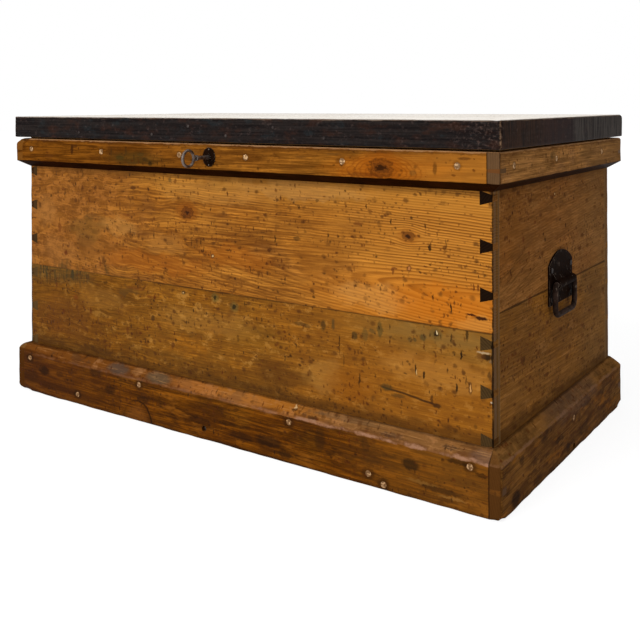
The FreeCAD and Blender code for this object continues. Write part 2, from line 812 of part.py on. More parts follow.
def build_leaf(side_name, owner):
    """A hinge leaf with every second knuckle: the case's has the outer ones."""
    side = SIDES[side_name]
    body = new_body(f"hinge_{side_name}_{owner}_leaf")
    left, right = leaf_ends(side)
    case = owner == "case"
    foot, top = (("case_leaf_foot", "case_leaf_top") if case
                 else ("lid_leaf_foot", "lid_leaf_top"))
    pad(body, oblong(sketch(body, "side", left), "leaf_front", "hinge_out", foot, top),
        "hinge_length")
    pad(body, disc(sketch(body, "side", left), ("hinge_out", "hinge_height"), "knuckle_radius"),
        "hinge_length")
    gaps = sketch(body, "plan")
    last = count("knuckle_count") - 1
    for step in range(count("knuckle_count")):
        if (step % 2 == 0) == case:
            continue
        start = f"{left} + {step} * knuckle_length - " + ("overrun" if step == 0 else "leaf_gap")
        end = f"{left} + {step + 1} * knuckle_length + " + ("overrun" if step == last
                                                            else "leaf_gap")
        oblong(gaps, start, end, "hinge_out - knuckle_radius - knuckle_gap",
               "hinge_out + knuckle_radius + overrun")
    cut(body, gaps)
    cut(body, disc(sketch(body, "side"), ("hinge_out", "hinge_height"),
                   "hinge_pin_radius + running_gap"))
    places = leaf_screw_places((side,))
    cut(body, discs(sketch(body, "plan"), places, "screw_radius"))
    face = "case_leaf_top" if case else "lid_leaf_foot"
    cut(body, discs(sketch(body, "plan", face), places, "leaf_screw_head_radius"),
        "leaf_screw_head_thick", outward=not case)


def build_hinge_pin(side_name):
    body = new_body(f"hinge_{side_name}_pin")
    left = leaf_ends(SIDES[side_name])[0]
    pad(body, disc(sketch(body, "side", left), ("hinge_out", "hinge_height"),
                   "hinge_pin_radius"), "hinge_length")


def build_leaf_screws(owner):
    """The countersunk screws of both hinges' leaves on one side of the joint."""
    body = new_body(f"hinge_{owner}_screws")
    case = owner == "case"
    face = "case_leaf_top" if case else "lid_leaf_foot"
    for radius, length in (("leaf_screw_head_radius", "leaf_screw_head_thick"),
                           ("screw_radius", "leaf_screw_length")):
        pad(body, discs(sketch(body, "plan", face), leaf_screw_places(), radius), length,
            inward=case)


def let_in_hinges():
    """Housings for the case leaves in the back board's and the band's top edges."""
    for label, face, near, far in (("back_board_upper", "case_top", "leaf_front", "case_back"),
                                   ("band_back", "band_top", "case_back", "band_out")):
        body = DOC.getObject(label)
        recess = sketch(body, "plan", face)
        for side in SIDES.values():
            left, right = leaf_ends(side)
            oblong(recess, left, right, near, far)
        cut(body, recess, f"{face} - case_leaf_foot")
    body = DOC.getObject("back_board_upper")
    cut(body, discs(sketch(body, "plan", "case_leaf_foot"), leaf_screw_places(),
                    "screw_radius"), "leaf_screw_length - leaf_thick")


# The lock
def lock_sketch(body, plane, away="0"):
    """A sketch of a lock piece, drawn about the keyhole's own middle line."""
    drawing = sketch(body, plane, away)
    drawing.setExpression("AttachmentOffset.Base.x", bound("lock_offset"))
    return drawing


def link_edges(step):
    """The left and right faces of one of the two links, from the keyhole's middle line."""
    if step == 0:
        return "-1 * link_place", "-1 * link_place + link_thick"
    return "link_place", "link_place + link_thick"


def link_screw_places():
    return [(f"lock_offset {sign} link_screw_place", "-1 * link_middle") for sign in ("-", "+")]


def lock_screw_places():
    across = "lock_plate_half - lock_screw_inset"
    heights = ("lock_plate_foot + lock_screw_inset", "lock_roof - lock_screw_inset")
    return [(f"{sign} * ({across})", height) for sign in ("-1", "1") for height in heights]


def keyhole_cuts(body, make_sketch, away, radius, depth):
    """A round hole for the shank with a slot below it for the bit."""
    cut(body, disc(make_sketch(body, "front", away), ("0", "key_height"), radius), depth)
    slot = oblong(make_sketch(body, "front", away), "-1 * keyhole_slot / 2", "keyhole_slot / 2",
                  "key_height - key_reach - keyhole_spare", "key_height")
    cut(body, slot, depth)


def let_in_lock():
    """The lock's housing in the front board, and the keyhole through board and band."""
    board = DOC.getObject("front_board_upper")
    half = "lock_width / 2 + lock_let_in"
    housing = oblong(lock_sketch(board, "front", "inner_back"), f"-1 * ({half})", half,
                     "lock_foot - lock_let_in", "case_top + overrun")
    cut(board, housing, "lock_thick", outward=True)
    ears = oblong(lock_sketch(board, "front", "inner_back"),
                  f"-1 * ({half} + selvedge_ear)", f"{half} + selvedge_ear",
                  "lock_roof", "case_top + overrun")
    cut(board, ears, "lock_thick", outward=True)
    cut(board, discs(lock_sketch(board, "front", "inner_back"), lock_screw_places(),
                     "lock_screw_radius"), "lock_screw_length - lock_wall", outward=True)
    keyhole_cuts(board, lock_sketch, "case_back", "keyhole_radius", "board_thick")
    band = DOC.getObject("band_front")
    keyhole_cuts(band, lock_sketch, "band_out", "keyhole_radius", "band_thick")
    pins = scutcheon_pin_places()
    cut(band, discs(lock_sketch(band, "front", "band_out"), pins, "scutcheon_pin_radius"),
        "scutcheon_pin_length - scutcheon_thick")


def build_lock_case():
    """The lock's box, open to the inside, with its selvedge along the board's top edge."""
    body = new_body("lock_case")
    half = "lock_width / 2"
    pad(body, oblong(lock_sketch(body, "front", "lock_front"), f"-1 * {half}", half,
                     "lock_foot", "case_top"), "lock_thick", inward=True)
    hollow = oblong(lock_sketch(body, "front", "inner_back"), f"lock_wall - {half}",
                    f"{half} - lock_wall", "lock_foot + lock_wall", "lock_roof")
    cut(body, hollow, "lock_thick - lock_wall", outward=True)
    pad(body, oblong(lock_sketch(body, "front", "lock_front"), f"-1 * {half} - selvedge_ear",
                     f"{half} + selvedge_ear", "lock_roof", "case_top"),
        "lock_thick + lock_wall", inward=True)
    lugs = lock_sketch(body, "front", "lock_front - lock_wall")
    for left in ("-1 * lug_left", "lug_right"):
        oblong(lugs, left, f"{left} + lug_width", "bolt_foot - bolt_gap - lug_height",
               "bolt_foot - bolt_gap")
    pad(body, lugs, "lock_front - lock_wall - bolt_back", inward=True)
    slots = lock_sketch(body, "plan", "case_top")
    for step in range(2):
        left, right = link_edges(step)
        oblong(slots, f"{left} - link_play", f"{right} + link_play",
               "-1 * link_middle - link_half - link_play",
               "-1 * link_middle + link_half + link_play")
    cut(body, slots, "selvedge_thick")
    keyhole_cuts(body, lock_sketch, "lock_front", "journal_radius + running_gap", "lock_wall")


def build_lock_plate():
    """The plate that closes the lock's box and screws to the board's inner face."""
    body = new_body("lock_plate")
    pad(body, oblong(lock_sketch(body, "front", "inner_back"), "-1 * lock_plate_half",
                     "lock_plate_half", "lock_plate_foot", "lock_roof"), "lock_wall",
        inward=True)
    cut(body, disc(lock_sketch(body, "front", "inner_back"), ("0", "key_height"),
                   "rear_journal_radius + running_gap"), "lock_wall")
    cut(body, discs(lock_sketch(body, "front", "inner_back"), lock_screw_places(),
                    "lock_screw_radius"), "lock_wall")
    screws = new_body("lock_screws")
    face = "inner_back - lock_wall"
    pad(screws, discs(lock_sketch(screws, "front", face), lock_screw_places(),
                      "lock_screw_head_radius"), "lock_screw_head_thick", inward=True)
    pad(screws, discs(lock_sketch(screws, "front", face), lock_screw_places(),
                      "lock_screw_radius"), "lock_screw_length")


def build_bolt():
    """The bolt: a rail with a talon notch for the bit and two tongues for the links."""
    body = new_body("lock_bolt")
    talon = "bolt_foot + talon_height"
    tip_left = "-1 * link_place - bolt_link_play"
    tip_right = "link_place - bolt_link_play"
    corners = [
        ("-1 * bolt_left", "bolt_foot"), ("-1 * talon_left", "bolt_foot"),
        ("-1 * talon_left", talon), ("talon_right", talon), ("talon_right", "bolt_foot"),
        ("bolt_right", "bolt_foot"), ("bolt_right", "bolt_rail_top"),
        ("bolt_post_place + bolt_post", "bolt_rail_top"),
        ("bolt_post_place + bolt_post", "bolt_tongue_foot"),
        (tip_right, "bolt_tongue_foot"), (tip_right, "bolt_tongue_top"),
        ("bolt_post_place", "bolt_tongue_top"), ("bolt_post_place", "bolt_rail_top"),
        ("-1 * bolt_left + bolt_post", "bolt_rail_top"),
        ("-1 * bolt_left + bolt_post", "bolt_tongue_foot"),
        (tip_left, "bolt_tongue_foot"), (tip_left, "bolt_tongue_top"),
        ("-1 * bolt_left", "bolt_tongue_top"),
    ]
    pad(body, outline(lock_sketch(body, "front", "bolt_front"), corners), "bolt_thick",
        inward=True)


def build_bolt_spring():
    """A bent strip on the bolt's back that rubs on the lock's plate and steadies the bolt."""
    body = new_body("lock_bolt_spring")
    left = "-1 * bolt_left"
    steps = [f"{left}", f"{left} + spring_tab", f"{left} + spring_tab + spring_slope",
             f"{left} + 2 * spring_tab + spring_slope",
             f"{left} + 2 * spring_tab + 2 * spring_slope"]
    back = "-1 * bolt_back"
    rises = ["0", "0", "spring_rise", "spring_rise", "0"]
    near = [(step, f"{back} + {rise}") for step, rise in zip(steps, rises)]
    far = [(step, f"{back} + {rise} + spring_thick") for step, rise in zip(steps, rises)]
    strip = lock_sketch(body, "plan", "bolt_rail_top - spring_wide")
    pad(body, outline(strip, near + far[::-1]), "spring_wide")


def build_key_barrel():
    """The turning guide that the key slips into: a drum on two journals."""
    body = new_body("key_barrel")
    drum_front = "lock_front - lock_wall - key_play"
    place = ("0", "key_height")
    pad(body, disc(lock_sketch(body, "front", drum_front), place, "barrel_radius"),
        f"{drum_front} - inner_back - key_play", inward=True)
    pad(body, disc(lock_sketch(body, "front", "lock_front"), place, "journal_radius"),
        "lock_wall + key_play", inward=True)
    pad(body, disc(lock_sketch(body, "front", "inner_back + key_play"), place,
                   "rear_journal_radius"), "lock_wall + key_play", inward=True)
    cut(body, disc(lock_sketch(body, "front", "lock_front"), place,
                   "key_shank_radius + running_gap"), "lock_front - key_tip + bolt_gap")
    slot = oblong(lock_sketch(body, "front", "lock_front"), "-1 * key_bit_thick / 2 - key_play",
                  "key_bit_thick / 2 + key_play",
                  "key_height - barrel_radius - overrun", "key_height")
    cut(body, slot, "lock_front - bit_back + key_play")


def build_key():
    """The key: a ring bow, a collar, the shank and a stepped bit hanging down."""
    body = new_body("key")
    place = ("0", "key_height")
    pad(body, disc(lock_sketch(body, "front", "key_bow_near"), place, "key_shank_radius"),
        "key_bow_near - key_tip", inward=True)
    pad(body, disc(lock_sketch(body, "front", "key_bow_near"), place, "key_neck_radius"),
        "key_neck + key_wire_radius")
    pad(body, disc(lock_sketch(body, "front", "key_bow_near"), place, "key_collar_radius"),
        "key_collar_length", inward=True)
    half = "key_bit_thick / 2"
    pad(body, oblong(lock_sketch(body, "front", "bit_front"), f"-1 * {half}", half,
                     "key_height - key_reach", "key_height"), "bit_front - bit_back",
        inward=True)
    step = oblong(lock_sketch(body, "front", "bit_back + key_bit_step"), f"-1 * {half} - overrun",
                  f"{half} + overrun", "key_height - key_reach - overrun",
                  "key_height - key_reach + key_bit_step")
    cut(body, step, "key_bit_step")
    ring = lock_sketch(body, "plan", "key_height")
    disc(ring, ("0", "-1 * key_bow_middle - key_bow_radius"), "key_wire_radius")
    turn = body.newObject("PartDesign::Revolution", "key_bow")
    turn.Profile = ring
    axle = body.newObject("Sketcher::SketchObject", "key_bow_axis")
    axle.AttachmentSupport = (origin_part(body, "XY_Plane"), "")
    axle.MapMode = "FlatFace"
    axle.setExpression("AttachmentOffset.Base.x", bound("lock_offset"))
    axle.setExpression("AttachmentOffset.Base.z", bound("key_height"))
    ends = [("-1 * key_bow_radius", "-1 * key_bow_middle"), ("key_bow_radius",
                                                            "-1 * key_bow_middle")]
    points = [V(value(across), value(up), 0) for across, up in ends]
    axle.addGeometry(Part.LineSegment(*points), False)
    fix_point(axle, 0, 1, ends[0])
    fix_point(axle, 0, 2, ends[1])
    turn.ReferenceAxis = (axle, ["Edge1"])


def build_scutcheon():
    """The oval iron plate round the keyhole, and its two pins."""
    oval = DOC.addObject("Part::Ellipse", "scutcheon_oval")
    oval.setExpression("MajorRadius", bound("scutcheon_height / 2"))
    oval.setExpression("MinorRadius", bound("scutcheon_width / 2"))
    upright = FreeCAD.Rotation(V(0, 0, 1), V(1, 0, 0), V(0, 1, 0), "ZXY")
    oval.Placement = FreeCAD.Placement(V(0, 0, 0), upright)
    oval.setExpression("Placement.Base.x", bound("lock_offset"))
    oval.setExpression("Placement.Base.y", bound("-1 * band_out"))
    oval.setExpression("Placement.Base.z", bound("key_height"))
    sheet = DOC.addObject("Part::Extrusion", "scutcheon_sheet")
    sheet.Base = oval
    sheet.DirMode = "Custom"
    sheet.Dir = V(0, -1, 0)
    sheet.Solid = True
    sheet.setExpression("LengthFwd", bound("scutcheon_thick"))
    hole = DOC.addObject("Part::Cylinder", "scutcheon_hole")
    lay_forward(hole, "keyhole_radius", "key_height")
    slot = DOC.addObject("Part::Box", "scutcheon_slot")
    slot.setExpression("Length", bound("keyhole_slot"))
    slot.setExpression("Width", bound("scutcheon_thick + 2 * overrun"))
    slot.setExpression("Height", bound("key_reach + keyhole_spare"))
    slot.setExpression("Placement.Base.x", bound("lock_offset - keyhole_slot / 2"))
    slot.setExpression("Placement.Base.y", bound("-1 * scutcheon_out - overrun"))
    slot.setExpression("Placement.Base.z", bound("key_height - key_reach - keyhole_spare"))
    keyhole = DOC.addObject("Part::MultiFuse", "scutcheon_keyhole")
    keyhole.Shapes = [hole, slot] + [pin_hole(place[1]) for place in scutcheon_pin_places()]
    plate = DOC.addObject("Part::Cut", "escutcheon")
    plate.Label = "escutcheon"
    plate.Base = sheet
    plate.Tool = keyhole
    NODES.append(plate)
    pins = new_body("escutcheon_pins")
    pad(pins, discs(lock_sketch(pins, "front", "scutcheon_out"), scutcheon_pin_places(),
                    "scutcheon_pin_radius"), "scutcheon_pin_length", inward=True)


def scutcheon_pin_places():
    return [("0", f"key_height {sign} scutcheon_pin_place") for sign in ("-", "+")]


def pin_hole(height):
    hole = DOC.addObject("Part::Cylinder", "scutcheon_pin_hole")
    lay_forward(hole, "scutcheon_pin_radius", height)
    return hole


def lay_forward(hole, radius, height):
    """Lays a cylinder through the scutcheon's sheet, on the keyhole's middle line."""
    hole.Placement = FreeCAD.Placement(V(0, 0, 0), FreeCAD.Rotation(V(1, 0, 0), 90))
    hole.setExpression("Radius", bound(radius))
    hole.setExpression("Height", bound("scutcheon_thick + 2 * overrun"))
    hole.setExpression("Placement.Base.x", bound("lock_offset"))
    hole.setExpression("Placement.Base.y", bound("-1 * band_out + overrun"))
    hole.setExpression("Placement.Base.z", bound(height))


def build_link_plate():
    """The plate let into the lid, with two links that drop into the lock's slots."""
    body = new_body("link_plate")
    pad(body, oblong(lock_sketch(body, "plan", "lid_bottom"), "-1 * link_plate_length / 2",
                     "link_plate_length / 2", "-1 * link_middle - link_plate_width / 2",
                     "-1 * link_middle + link_plate_width / 2"), "link_plate_thick")
    for step in range(2):
        left, right = link_edges(step)
        block = oblong(lock_sketch(body, "plan", "lid_bottom"), left, right,
                       "-1 * link_middle - link_half", "-1 * link_middle + link_half")
        pad(body, block, "link_drop", inward=True)
    eye = oblong(sketch(body, "side"), "-1 * link_middle - link_hole_half",
                 "-1 * link_middle + link_hole_half", "link_low + link_foot",
                 "bolt_tongue_top + link_play")
    cut(body, eye)
    places = [(f"{sign} * link_screw_place", "-1 * link_middle") for sign in ("-1", "1")]
    cut(body, discs(lock_sketch(body, "plan"), places, "link_screw_radius"))
    screws = new_body("link_plate_screws")
    pad(screws, discs(lock_sketch(screws, "plan", "lid_bottom"), places, "link_screw_radius"),
        "link_screw_length")


# The side handles
def handle_screw_places(heights):
    return [(f"{sign} * handle_screw_place", height) for sign in ("-1", "1")
            for height in heights]


def build_handle_plate(side_name):
    """An arch-topped plate with a sloping hood over the barrel that holds the bail."""
    side = SIDES[side_name]
    right = side_name == "right"
    body = new_body(f"handle_{side_name}_plate")
    face = f"{side} * case_right"
    half = "handle_plate_width / 2"
    pad(body, oblong(sketch(body, "side", face), f"-1 * {half}", half, "handle_plate_low",
                     "handle_plate_top + overrun"), "handle_plate_thick", inward=not right)
    arch = oblong(sketch(body, "side"), "-1 * handle_plate_width", "handle_plate_width",
                  "handle_plate_top - 2 * handle_plate_width",
                  "handle_plate_top + handle_plate_width")
    disc(arch, ("0", "handle_plate_top - handle_arch_radius"), "handle_arch_radius")
    cut(body, arch)
    axis = f"{side} * handle_axis"
    hood = outline(sketch(body, "front"), [
        (face, "handle_height - hood_bottom"),
        (axis, "handle_height - handle_barrel_radius"),
        (axis, "handle_height + handle_barrel_radius"),
        (face, "handle_height + hood_top")])
    pad(body, hood, "handle_barrel_length", middle=True)
    pad(body, disc(sketch(body, "front"), (axis, "handle_height"), "handle_barrel_radius"),
        "handle_barrel_length", middle=True)
    cut(body, disc(sketch(body, "front"), (axis, "handle_height"),
                   "bail_rod_radius + running_gap"))
    places = handle_screw_places(["handle_screw_low", "handle_screw_high"])
    cut(body, discs(sketch(body, "side"), places, "handle_screw_radius"))


def build_bail(side_name):
    """A bent rod: its ends turn in to the barrel, and the grip hangs below."""
    side = SIDES[side_name]
    body = new_body(f"handle_{side_name}_bail")
    axis = f"{side} * handle_axis"
    route = body.newObject("Sketcher::SketchObject", f"{body.Label}_route")
    route.AttachmentSupport = (origin_part(body, "YZ_Plane"), "")
    route.MapMode = "FlatFace"
    route.setExpression("AttachmentOffset.Base.z", bound(axis))
    top = "handle_height"
    foot = "handle_height - bail_drop"
    lines = []
    for sign in ("-1", "1"):
        lines.append([(f"{sign} * bail_end", top),
                      (f"{sign} * (bail_half_width - bail_top_bend)", top)])
        lines.append([(f"{sign} * bail_half_width", f"{top} - bail_top_bend"),
                      (f"{sign} * bail_half_width", f"{foot} + bail_foot_bend")])
    grip = [("-1 * (bail_half_width - bail_foot_bend)", foot),
            ("bail_half_width - bail_foot_bend", foot)]
    runs = [lines[0], lines[1], grip, lines[3][::-1], lines[2][::-1]]
    for run in runs:
        ends = [V(value(across), value(up), 0) for across, up in run]
        edge = route.addGeometry(Part.LineSegment(*ends), False)
        fix_point(route, edge, 1, run[0])
        fix_point(route, edge, 2, run[1])
    bends = ("bail_top_bend", "bail_foot_bend", "bail_foot_bend", "bail_top_bend")
    for step, radius in enumerate(bends):
        bend_between(route, step, step + 1, radius)
    profile = disc(sketch(body, "front", "bail_end"), (axis, "handle_height"), "bail_rod_radius")
    pipe = body.newObject("PartDesign::AdditivePipe", f"{body.Label}_pipe")
    pipe.Profile = profile
    pipe.Spine = route


def bend_between(route, first, second, radius):
    """A quarter round from one straight run's end to the next one's start."""
    start = route.Geometry[first].EndPoint
    end = route.Geometry[second].StartPoint
    before = route.Geometry[first].StartPoint
    along = (start - before).normalize()
    corner = start + along * value(radius)
    middle = corner + (start + end - corner * 2).normalize() * (2 ** 0.5 - 1) * value(radius)
    arc = route.addGeometry(Part.Arc(start, middle, end), False)
    begins = (route.Geometry[arc].StartPoint - start).Length < value("running_gap")
    near, far = (1, 2) if begins else (2, 1)
    route.addConstraint(Sketcher.Constraint("Coincident", first, 2, arc, near))
    route.addConstraint(Sketcher.Constraint("Coincident", second, 1, arc, far))
    tie = Sketcher.Constraint("Radius", arc, value(radius))
    route.setExpression(f"Constraints[{route.addConstraint(tie)}]", bound(radius))


def build_handle_screws():
    """Round-headed screws that hold both plates."""
    body = new_body("handle_screws")
    places = handle_screw_places(["handle_screw_low", "handle_screw_high"])
    for sign, right in (("1", True), ("-1", False)):
        face = f"{sign} * handle_plate_out"
        pad(body, discs(sketch(body, "side", face), places, "handle_screw_head_radius"),
            "handle_screw_head_thick", inward=not right)
        pad(body, discs(sketch(body, "side", face), places, "handle_screw_radius"),
            "handle_screw_length", inward=right)


def build_coffer():
    """Builds every piece."""
    for level in LEVELS:
        for wall in ("front", "back"):
            build_wall_board(wall, level)
        for side_name in SIDES:
            build_side_board(side_name, level)
    for number in range(count("bottom_boards")):
        build_bottom_board(number)
    build_nails()
    edge = "(case_back - runner_width / 2)"
    for name, middle in (("front", f"-1 * {edge}"), ("middle", "0"), ("back", edge)):
        build_runner(name, middle)
    for kind in MOULDINGS:
        for wall in ("front", "back"):
            build_long_moulding(kind, wall)
        for side_name in SIDES:
            build_short_moulding(kind, side_name)
        build_fixings(kind)
    for half in ("front", "back"):
        build_lid_plank(half)
    build_lid_tacks()
    build_batten_screws()
    for side_name in SIDES:
        build_batten(side_name)
        build_leaf(side_name, "case")
        build_leaf(side_name, "lid")
        build_hinge_pin(side_name)
        build_handle_plate(side_name)
        build_bail(side_name)
    build_handle_screws()
    build_leaf_screws("case")
    build_leaf_screws("lid")
    let_in_hinges()
    let_in_lock()
    build_lock_case()
    build_lock_plate()
    build_bolt()
    build_bolt_spring()
    build_key_barrel()
    build_key()
    build_scutcheon()
    build_link_plate()


def check_and_write():
    """Stops on any failed object or shape, then writes each piece to its own file."""
    DOC.recompute()
    faults = [f"{item.Label} {item.State}" for item in DOC.Objects
              if "Invalid" in item.State or "Error" in item.State]
    for node in NODES:
        shape = node.Shape
        if shape.isNull() or not shape.isValid() or not shape.Solids:
            faults.append(f"{node.Label} has no sound solid")
    if faults:
        raise SystemExit("failed: " + "; ".join(faults))
    os.makedirs("parts", exist_ok=True)
    for node in NODES:
        node.Shape.exportStep(f"parts/{node.Label}.step")
        print(node.Label, len(node.Shape.Solids), round(node.Shape.Volume, 1))
    print(len(NODES), "pieces written")


SIZE_SHEET = fill_sheet("Sizes", SIZES)
fill_sheet("Places", PLACES)
build_coffer()
check_and_write()
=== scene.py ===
"""The looks of a dovetailed pine tool chest: waxed boards, black lid edges, pale pellets and black iron."""
import json
import math

import bmesh
import bpy
from mathutils import Matrix, Vector, noise


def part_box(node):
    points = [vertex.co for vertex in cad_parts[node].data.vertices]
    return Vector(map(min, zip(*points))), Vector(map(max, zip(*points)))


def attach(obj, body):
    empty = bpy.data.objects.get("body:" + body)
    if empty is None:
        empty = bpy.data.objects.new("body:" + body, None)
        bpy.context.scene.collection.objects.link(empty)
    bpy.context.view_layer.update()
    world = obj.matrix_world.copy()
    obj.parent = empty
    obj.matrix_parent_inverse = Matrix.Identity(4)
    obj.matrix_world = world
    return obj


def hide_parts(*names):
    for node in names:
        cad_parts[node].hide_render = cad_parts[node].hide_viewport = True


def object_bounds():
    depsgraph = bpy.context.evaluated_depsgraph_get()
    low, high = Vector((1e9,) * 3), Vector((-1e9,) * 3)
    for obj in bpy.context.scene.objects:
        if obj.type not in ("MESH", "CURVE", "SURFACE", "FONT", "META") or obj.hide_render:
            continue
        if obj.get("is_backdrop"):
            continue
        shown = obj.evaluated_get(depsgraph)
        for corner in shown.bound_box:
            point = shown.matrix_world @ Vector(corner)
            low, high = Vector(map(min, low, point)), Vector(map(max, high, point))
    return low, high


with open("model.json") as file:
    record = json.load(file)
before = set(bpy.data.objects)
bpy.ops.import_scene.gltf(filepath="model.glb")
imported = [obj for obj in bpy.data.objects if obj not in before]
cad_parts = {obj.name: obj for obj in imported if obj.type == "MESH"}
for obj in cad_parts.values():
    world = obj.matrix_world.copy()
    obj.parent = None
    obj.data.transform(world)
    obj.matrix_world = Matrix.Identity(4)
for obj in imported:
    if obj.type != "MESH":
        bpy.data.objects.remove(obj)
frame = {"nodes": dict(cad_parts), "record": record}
cad_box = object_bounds()

MM = 0.001

# The photograph's camera: its place, its turn about the vertical, its roll and its lens
CAMERA_PLACE = Vector((0.95392, -1.35616, 0.5491))
CAMERA_YAW = math.radians(34.394)
CAMERA_ROLL = math.radians(0.266)
CAMERA_LENS = 49.64
CAMERA_SENSOR = 36
CAMERA_SHIFT = -0.339

# The outer boxes of the walls, the band, the plinth and the lid
WALL_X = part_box("front_board_upper")[1].x
WALL_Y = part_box("right_board_upper")[1].y
BAND_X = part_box("band_right")[1].x
BAND_Y = -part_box("band_front")[0].y
BAND_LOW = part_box("band_front")[0].z
BAND_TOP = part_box("band_front")[1].z
BAND_FACE_LOW = BAND_LOW + 12 * MM
PLINTH_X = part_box("plinth_right")[1].x
PLINTH_Y = -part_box("plinth_front")[0].y
PLINTH_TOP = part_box("plinth_front")[1].z
CHAMFER_RUN = 16 * MM
CHAMFER_LOW = PLINTH_TOP - 17.4 * MM
SEAM_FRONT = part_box("front_board_upper")[0].z
SEAM_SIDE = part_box("right_board_upper")[0].z
JOINT_X = -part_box("band_left")[1].x
LID_LOW, LID_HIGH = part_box("lid_plank_front")
LID_X, LID_Y = LID_HIGH.x, -LID_LOW.y

# In millimetres: a board's thickness, the most that a pellet's middle lies inside its outer face, and between
# which distances from the chest's middle a finish passes to the outer face of the front or the right side
BOARD = 19
NEAR_FACE = 12
WALL_OUTER_Y, WALL_OUTER_X = (250, 252), (470, 474)
BAND_OUTER_Y, BAND_OUTER_X = (268, 270), (490, 492)
PLINTH_OUTER_Y, PLINTH_OUTER_X = (262, 268), (486, 490)


# Colours and nodes

def tint(colour):
    """A screen colour, each part from 0 to 255, as the linear colour that shaders take."""
    parts = [c / 255 for c in colour]
    return tuple(c / 12.92 if c < 0.04045 else ((c + 0.055) / 1.055) ** 2.4 for c in parts) + (1,)


def tints_near(tone, share):
    """A screen colour made lighter or darker, as a linear one."""
    return tuple(min(1, c * share) for c in tint(tone)[:3]) + (1,)


def plug(tree, socket, value):
    """Sets a socket to a field, another socket, a constant or a screen colour, which is a tuple of three."""
    if isinstance(value, Field):
        value = value.socket
    if isinstance(value, bpy.types.NodeSocket):
        tree.links.new(value, socket)
    elif isinstance(value, tuple) and len(value) == 3:
        socket.default_value = tint(value)
    elif value is not None:
        socket.default_value = value


def add(tree, kind, *values, **settings):
    """A shader node with its settings, and with its first inputs plugged where the value isn't None."""
    made = tree.nodes.new("ShaderNode" + kind)
    for name, value in settings.items():
        setattr(made, name, value)
    for socket, value in zip(made.inputs, values):
        plug(tree, socket, value)
    return made


def fresh_tree(holder):
    """The emptied node tree of a material or a world."""
    holder.use_nodes = True
    holder.node_tree.nodes.clear()
    return holder.node_tree


class Field:
    """A number that varies over a surface. Its sums, products and steps are nodes of its tree."""

    def __init__(self, tree, socket):
        self.tree = tree
        self.socket = socket

    def node(self, operation, *others):
        """The result of a Math node that takes this field first."""
        return Field(self.tree, add(self.tree, "Math", self, *others, operation=operation).outputs[0])

    def __add__(self, other):
        return self.node("ADD", other)

    def __sub__(self, other):
        return self.node("SUBTRACT", other)

    def __mul__(self, other):
        return self.node("MULTIPLY", other)

    def __truediv__(self, other):
        return self.node("DIVIDE", other)

    def __pow__(self, other):
        return self.node("POWER", other)

    def __abs__(self):
        return self.node("ABSOLUTE")

    def __neg__(self):
        return self.node("MULTIPLY", -1)

    def square(self):
        return self.node("MULTIPLY", self)

    def flip(self):
        """One minus the field."""
        return self.node("MULTIPLY_ADD", -1, 1)

    def most(self, other):
        return self.node("MAXIMUM", other)

    def part(self):
        """What is left of the field past its whole number."""
        return self.node("FRACT")

    def step(self, low, high, start=0, end=1):
        """A smooth step from start at low to end at high."""
        made = add(self.tree, "MapRange", self, low, high, start, end, interpolation_type="SMOOTHSTEP")
        return Field(self.tree, made.outputs[0])


class Place:
    """A point as three fields or numbers, the grain along the first, and as one vector."""

    def __init__(self, u, v, w):
        self.parts = (u, v, w)
        self.tree = next(f.tree for f in self.parts if isinstance(f, Field))
        self.whole = add(self.tree, "CombineXYZ", u, v, w).outputs[0]

    def __iter__(self):
        return iter(self.parts)


# How far each seed moves the noise along the three axes
SEED_STEPS = (7.31, 3.17, -5.73)


def mapped(place, sizes, seed):
    """A place measured in cells of the given sizes, moved to the seed's own stretch of the noise."""
    made = add(place.tree, "Mapping", place.whole)
    made.inputs["Scale"].default_value = [1 / s for s in sizes]
    made.inputs["Location"].default_value = [s * seed for s in SEED_STEPS]
    return made.outputs[0]


def cloud(place, sizes, seed, detail=2, roughness=0.5):
    """Noise from 0 to 1 with spots of the given sizes in millimetres along each axis."""
    made = add(place.tree, "TexNoise", mapped(place, sizes, seed), None, 1, detail, roughness)
    return Field(place.tree, made.outputs[0])


def specks(place, sizes, seed, least, most, crowd):
    """Scattered marks from 0 to 1: one in each cell of the given size, where the crowd field lets it show."""
    made = add(place.tree, "TexVoronoi", mapped(place, (*sizes, 1), seed), None, 1, voronoi_dimensions="2D")
    shade = add(place.tree, "SeparateColor", made.outputs["Color"])
    luck, size, strength = (Field(place.tree, o) for o in shade.outputs)
    reach = Field(place.tree, made.outputs["Distance"]) / size.step(0, 1, least, most)
    shows = (luck - crowd).step(-0.04, 0.04, 1, 0)
    return reach.step(0.25, 1, 1, 0) * shows * strength.step(0, 1, 0.5, 1)


def mix(tree, share, first, second, way="MIX"):
    """Two colours mixed by a field."""
    made = add(tree, "Mix", data_type="RGBA", blend_type=way)
    for socket, value in (("Factor", share), (6, first), (7, second)):
        plug(tree, made.inputs[socket], value)
    return made.outputs[2]


def oval(u, v, centre, half):
    """How far a point lies from the centre of an oval, 1 on its rim."""
    du = (u - centre[0]) * (1 / half[0])
    dv = (v - centre[1]) * (1 / half[1])
    return (du.square() + dv.square()).node("SQRT")


def spot(u, v, centre, half, soft, wobble=None):
    """An oval mark: 1 inside, 0 outside, with a soft rim that the wobble makes uneven."""
    reach = oval(u, v, centre, half)
    return (reach + wobble if wobble else reach).step(1 - soft, 1 + soft, 1, 0)


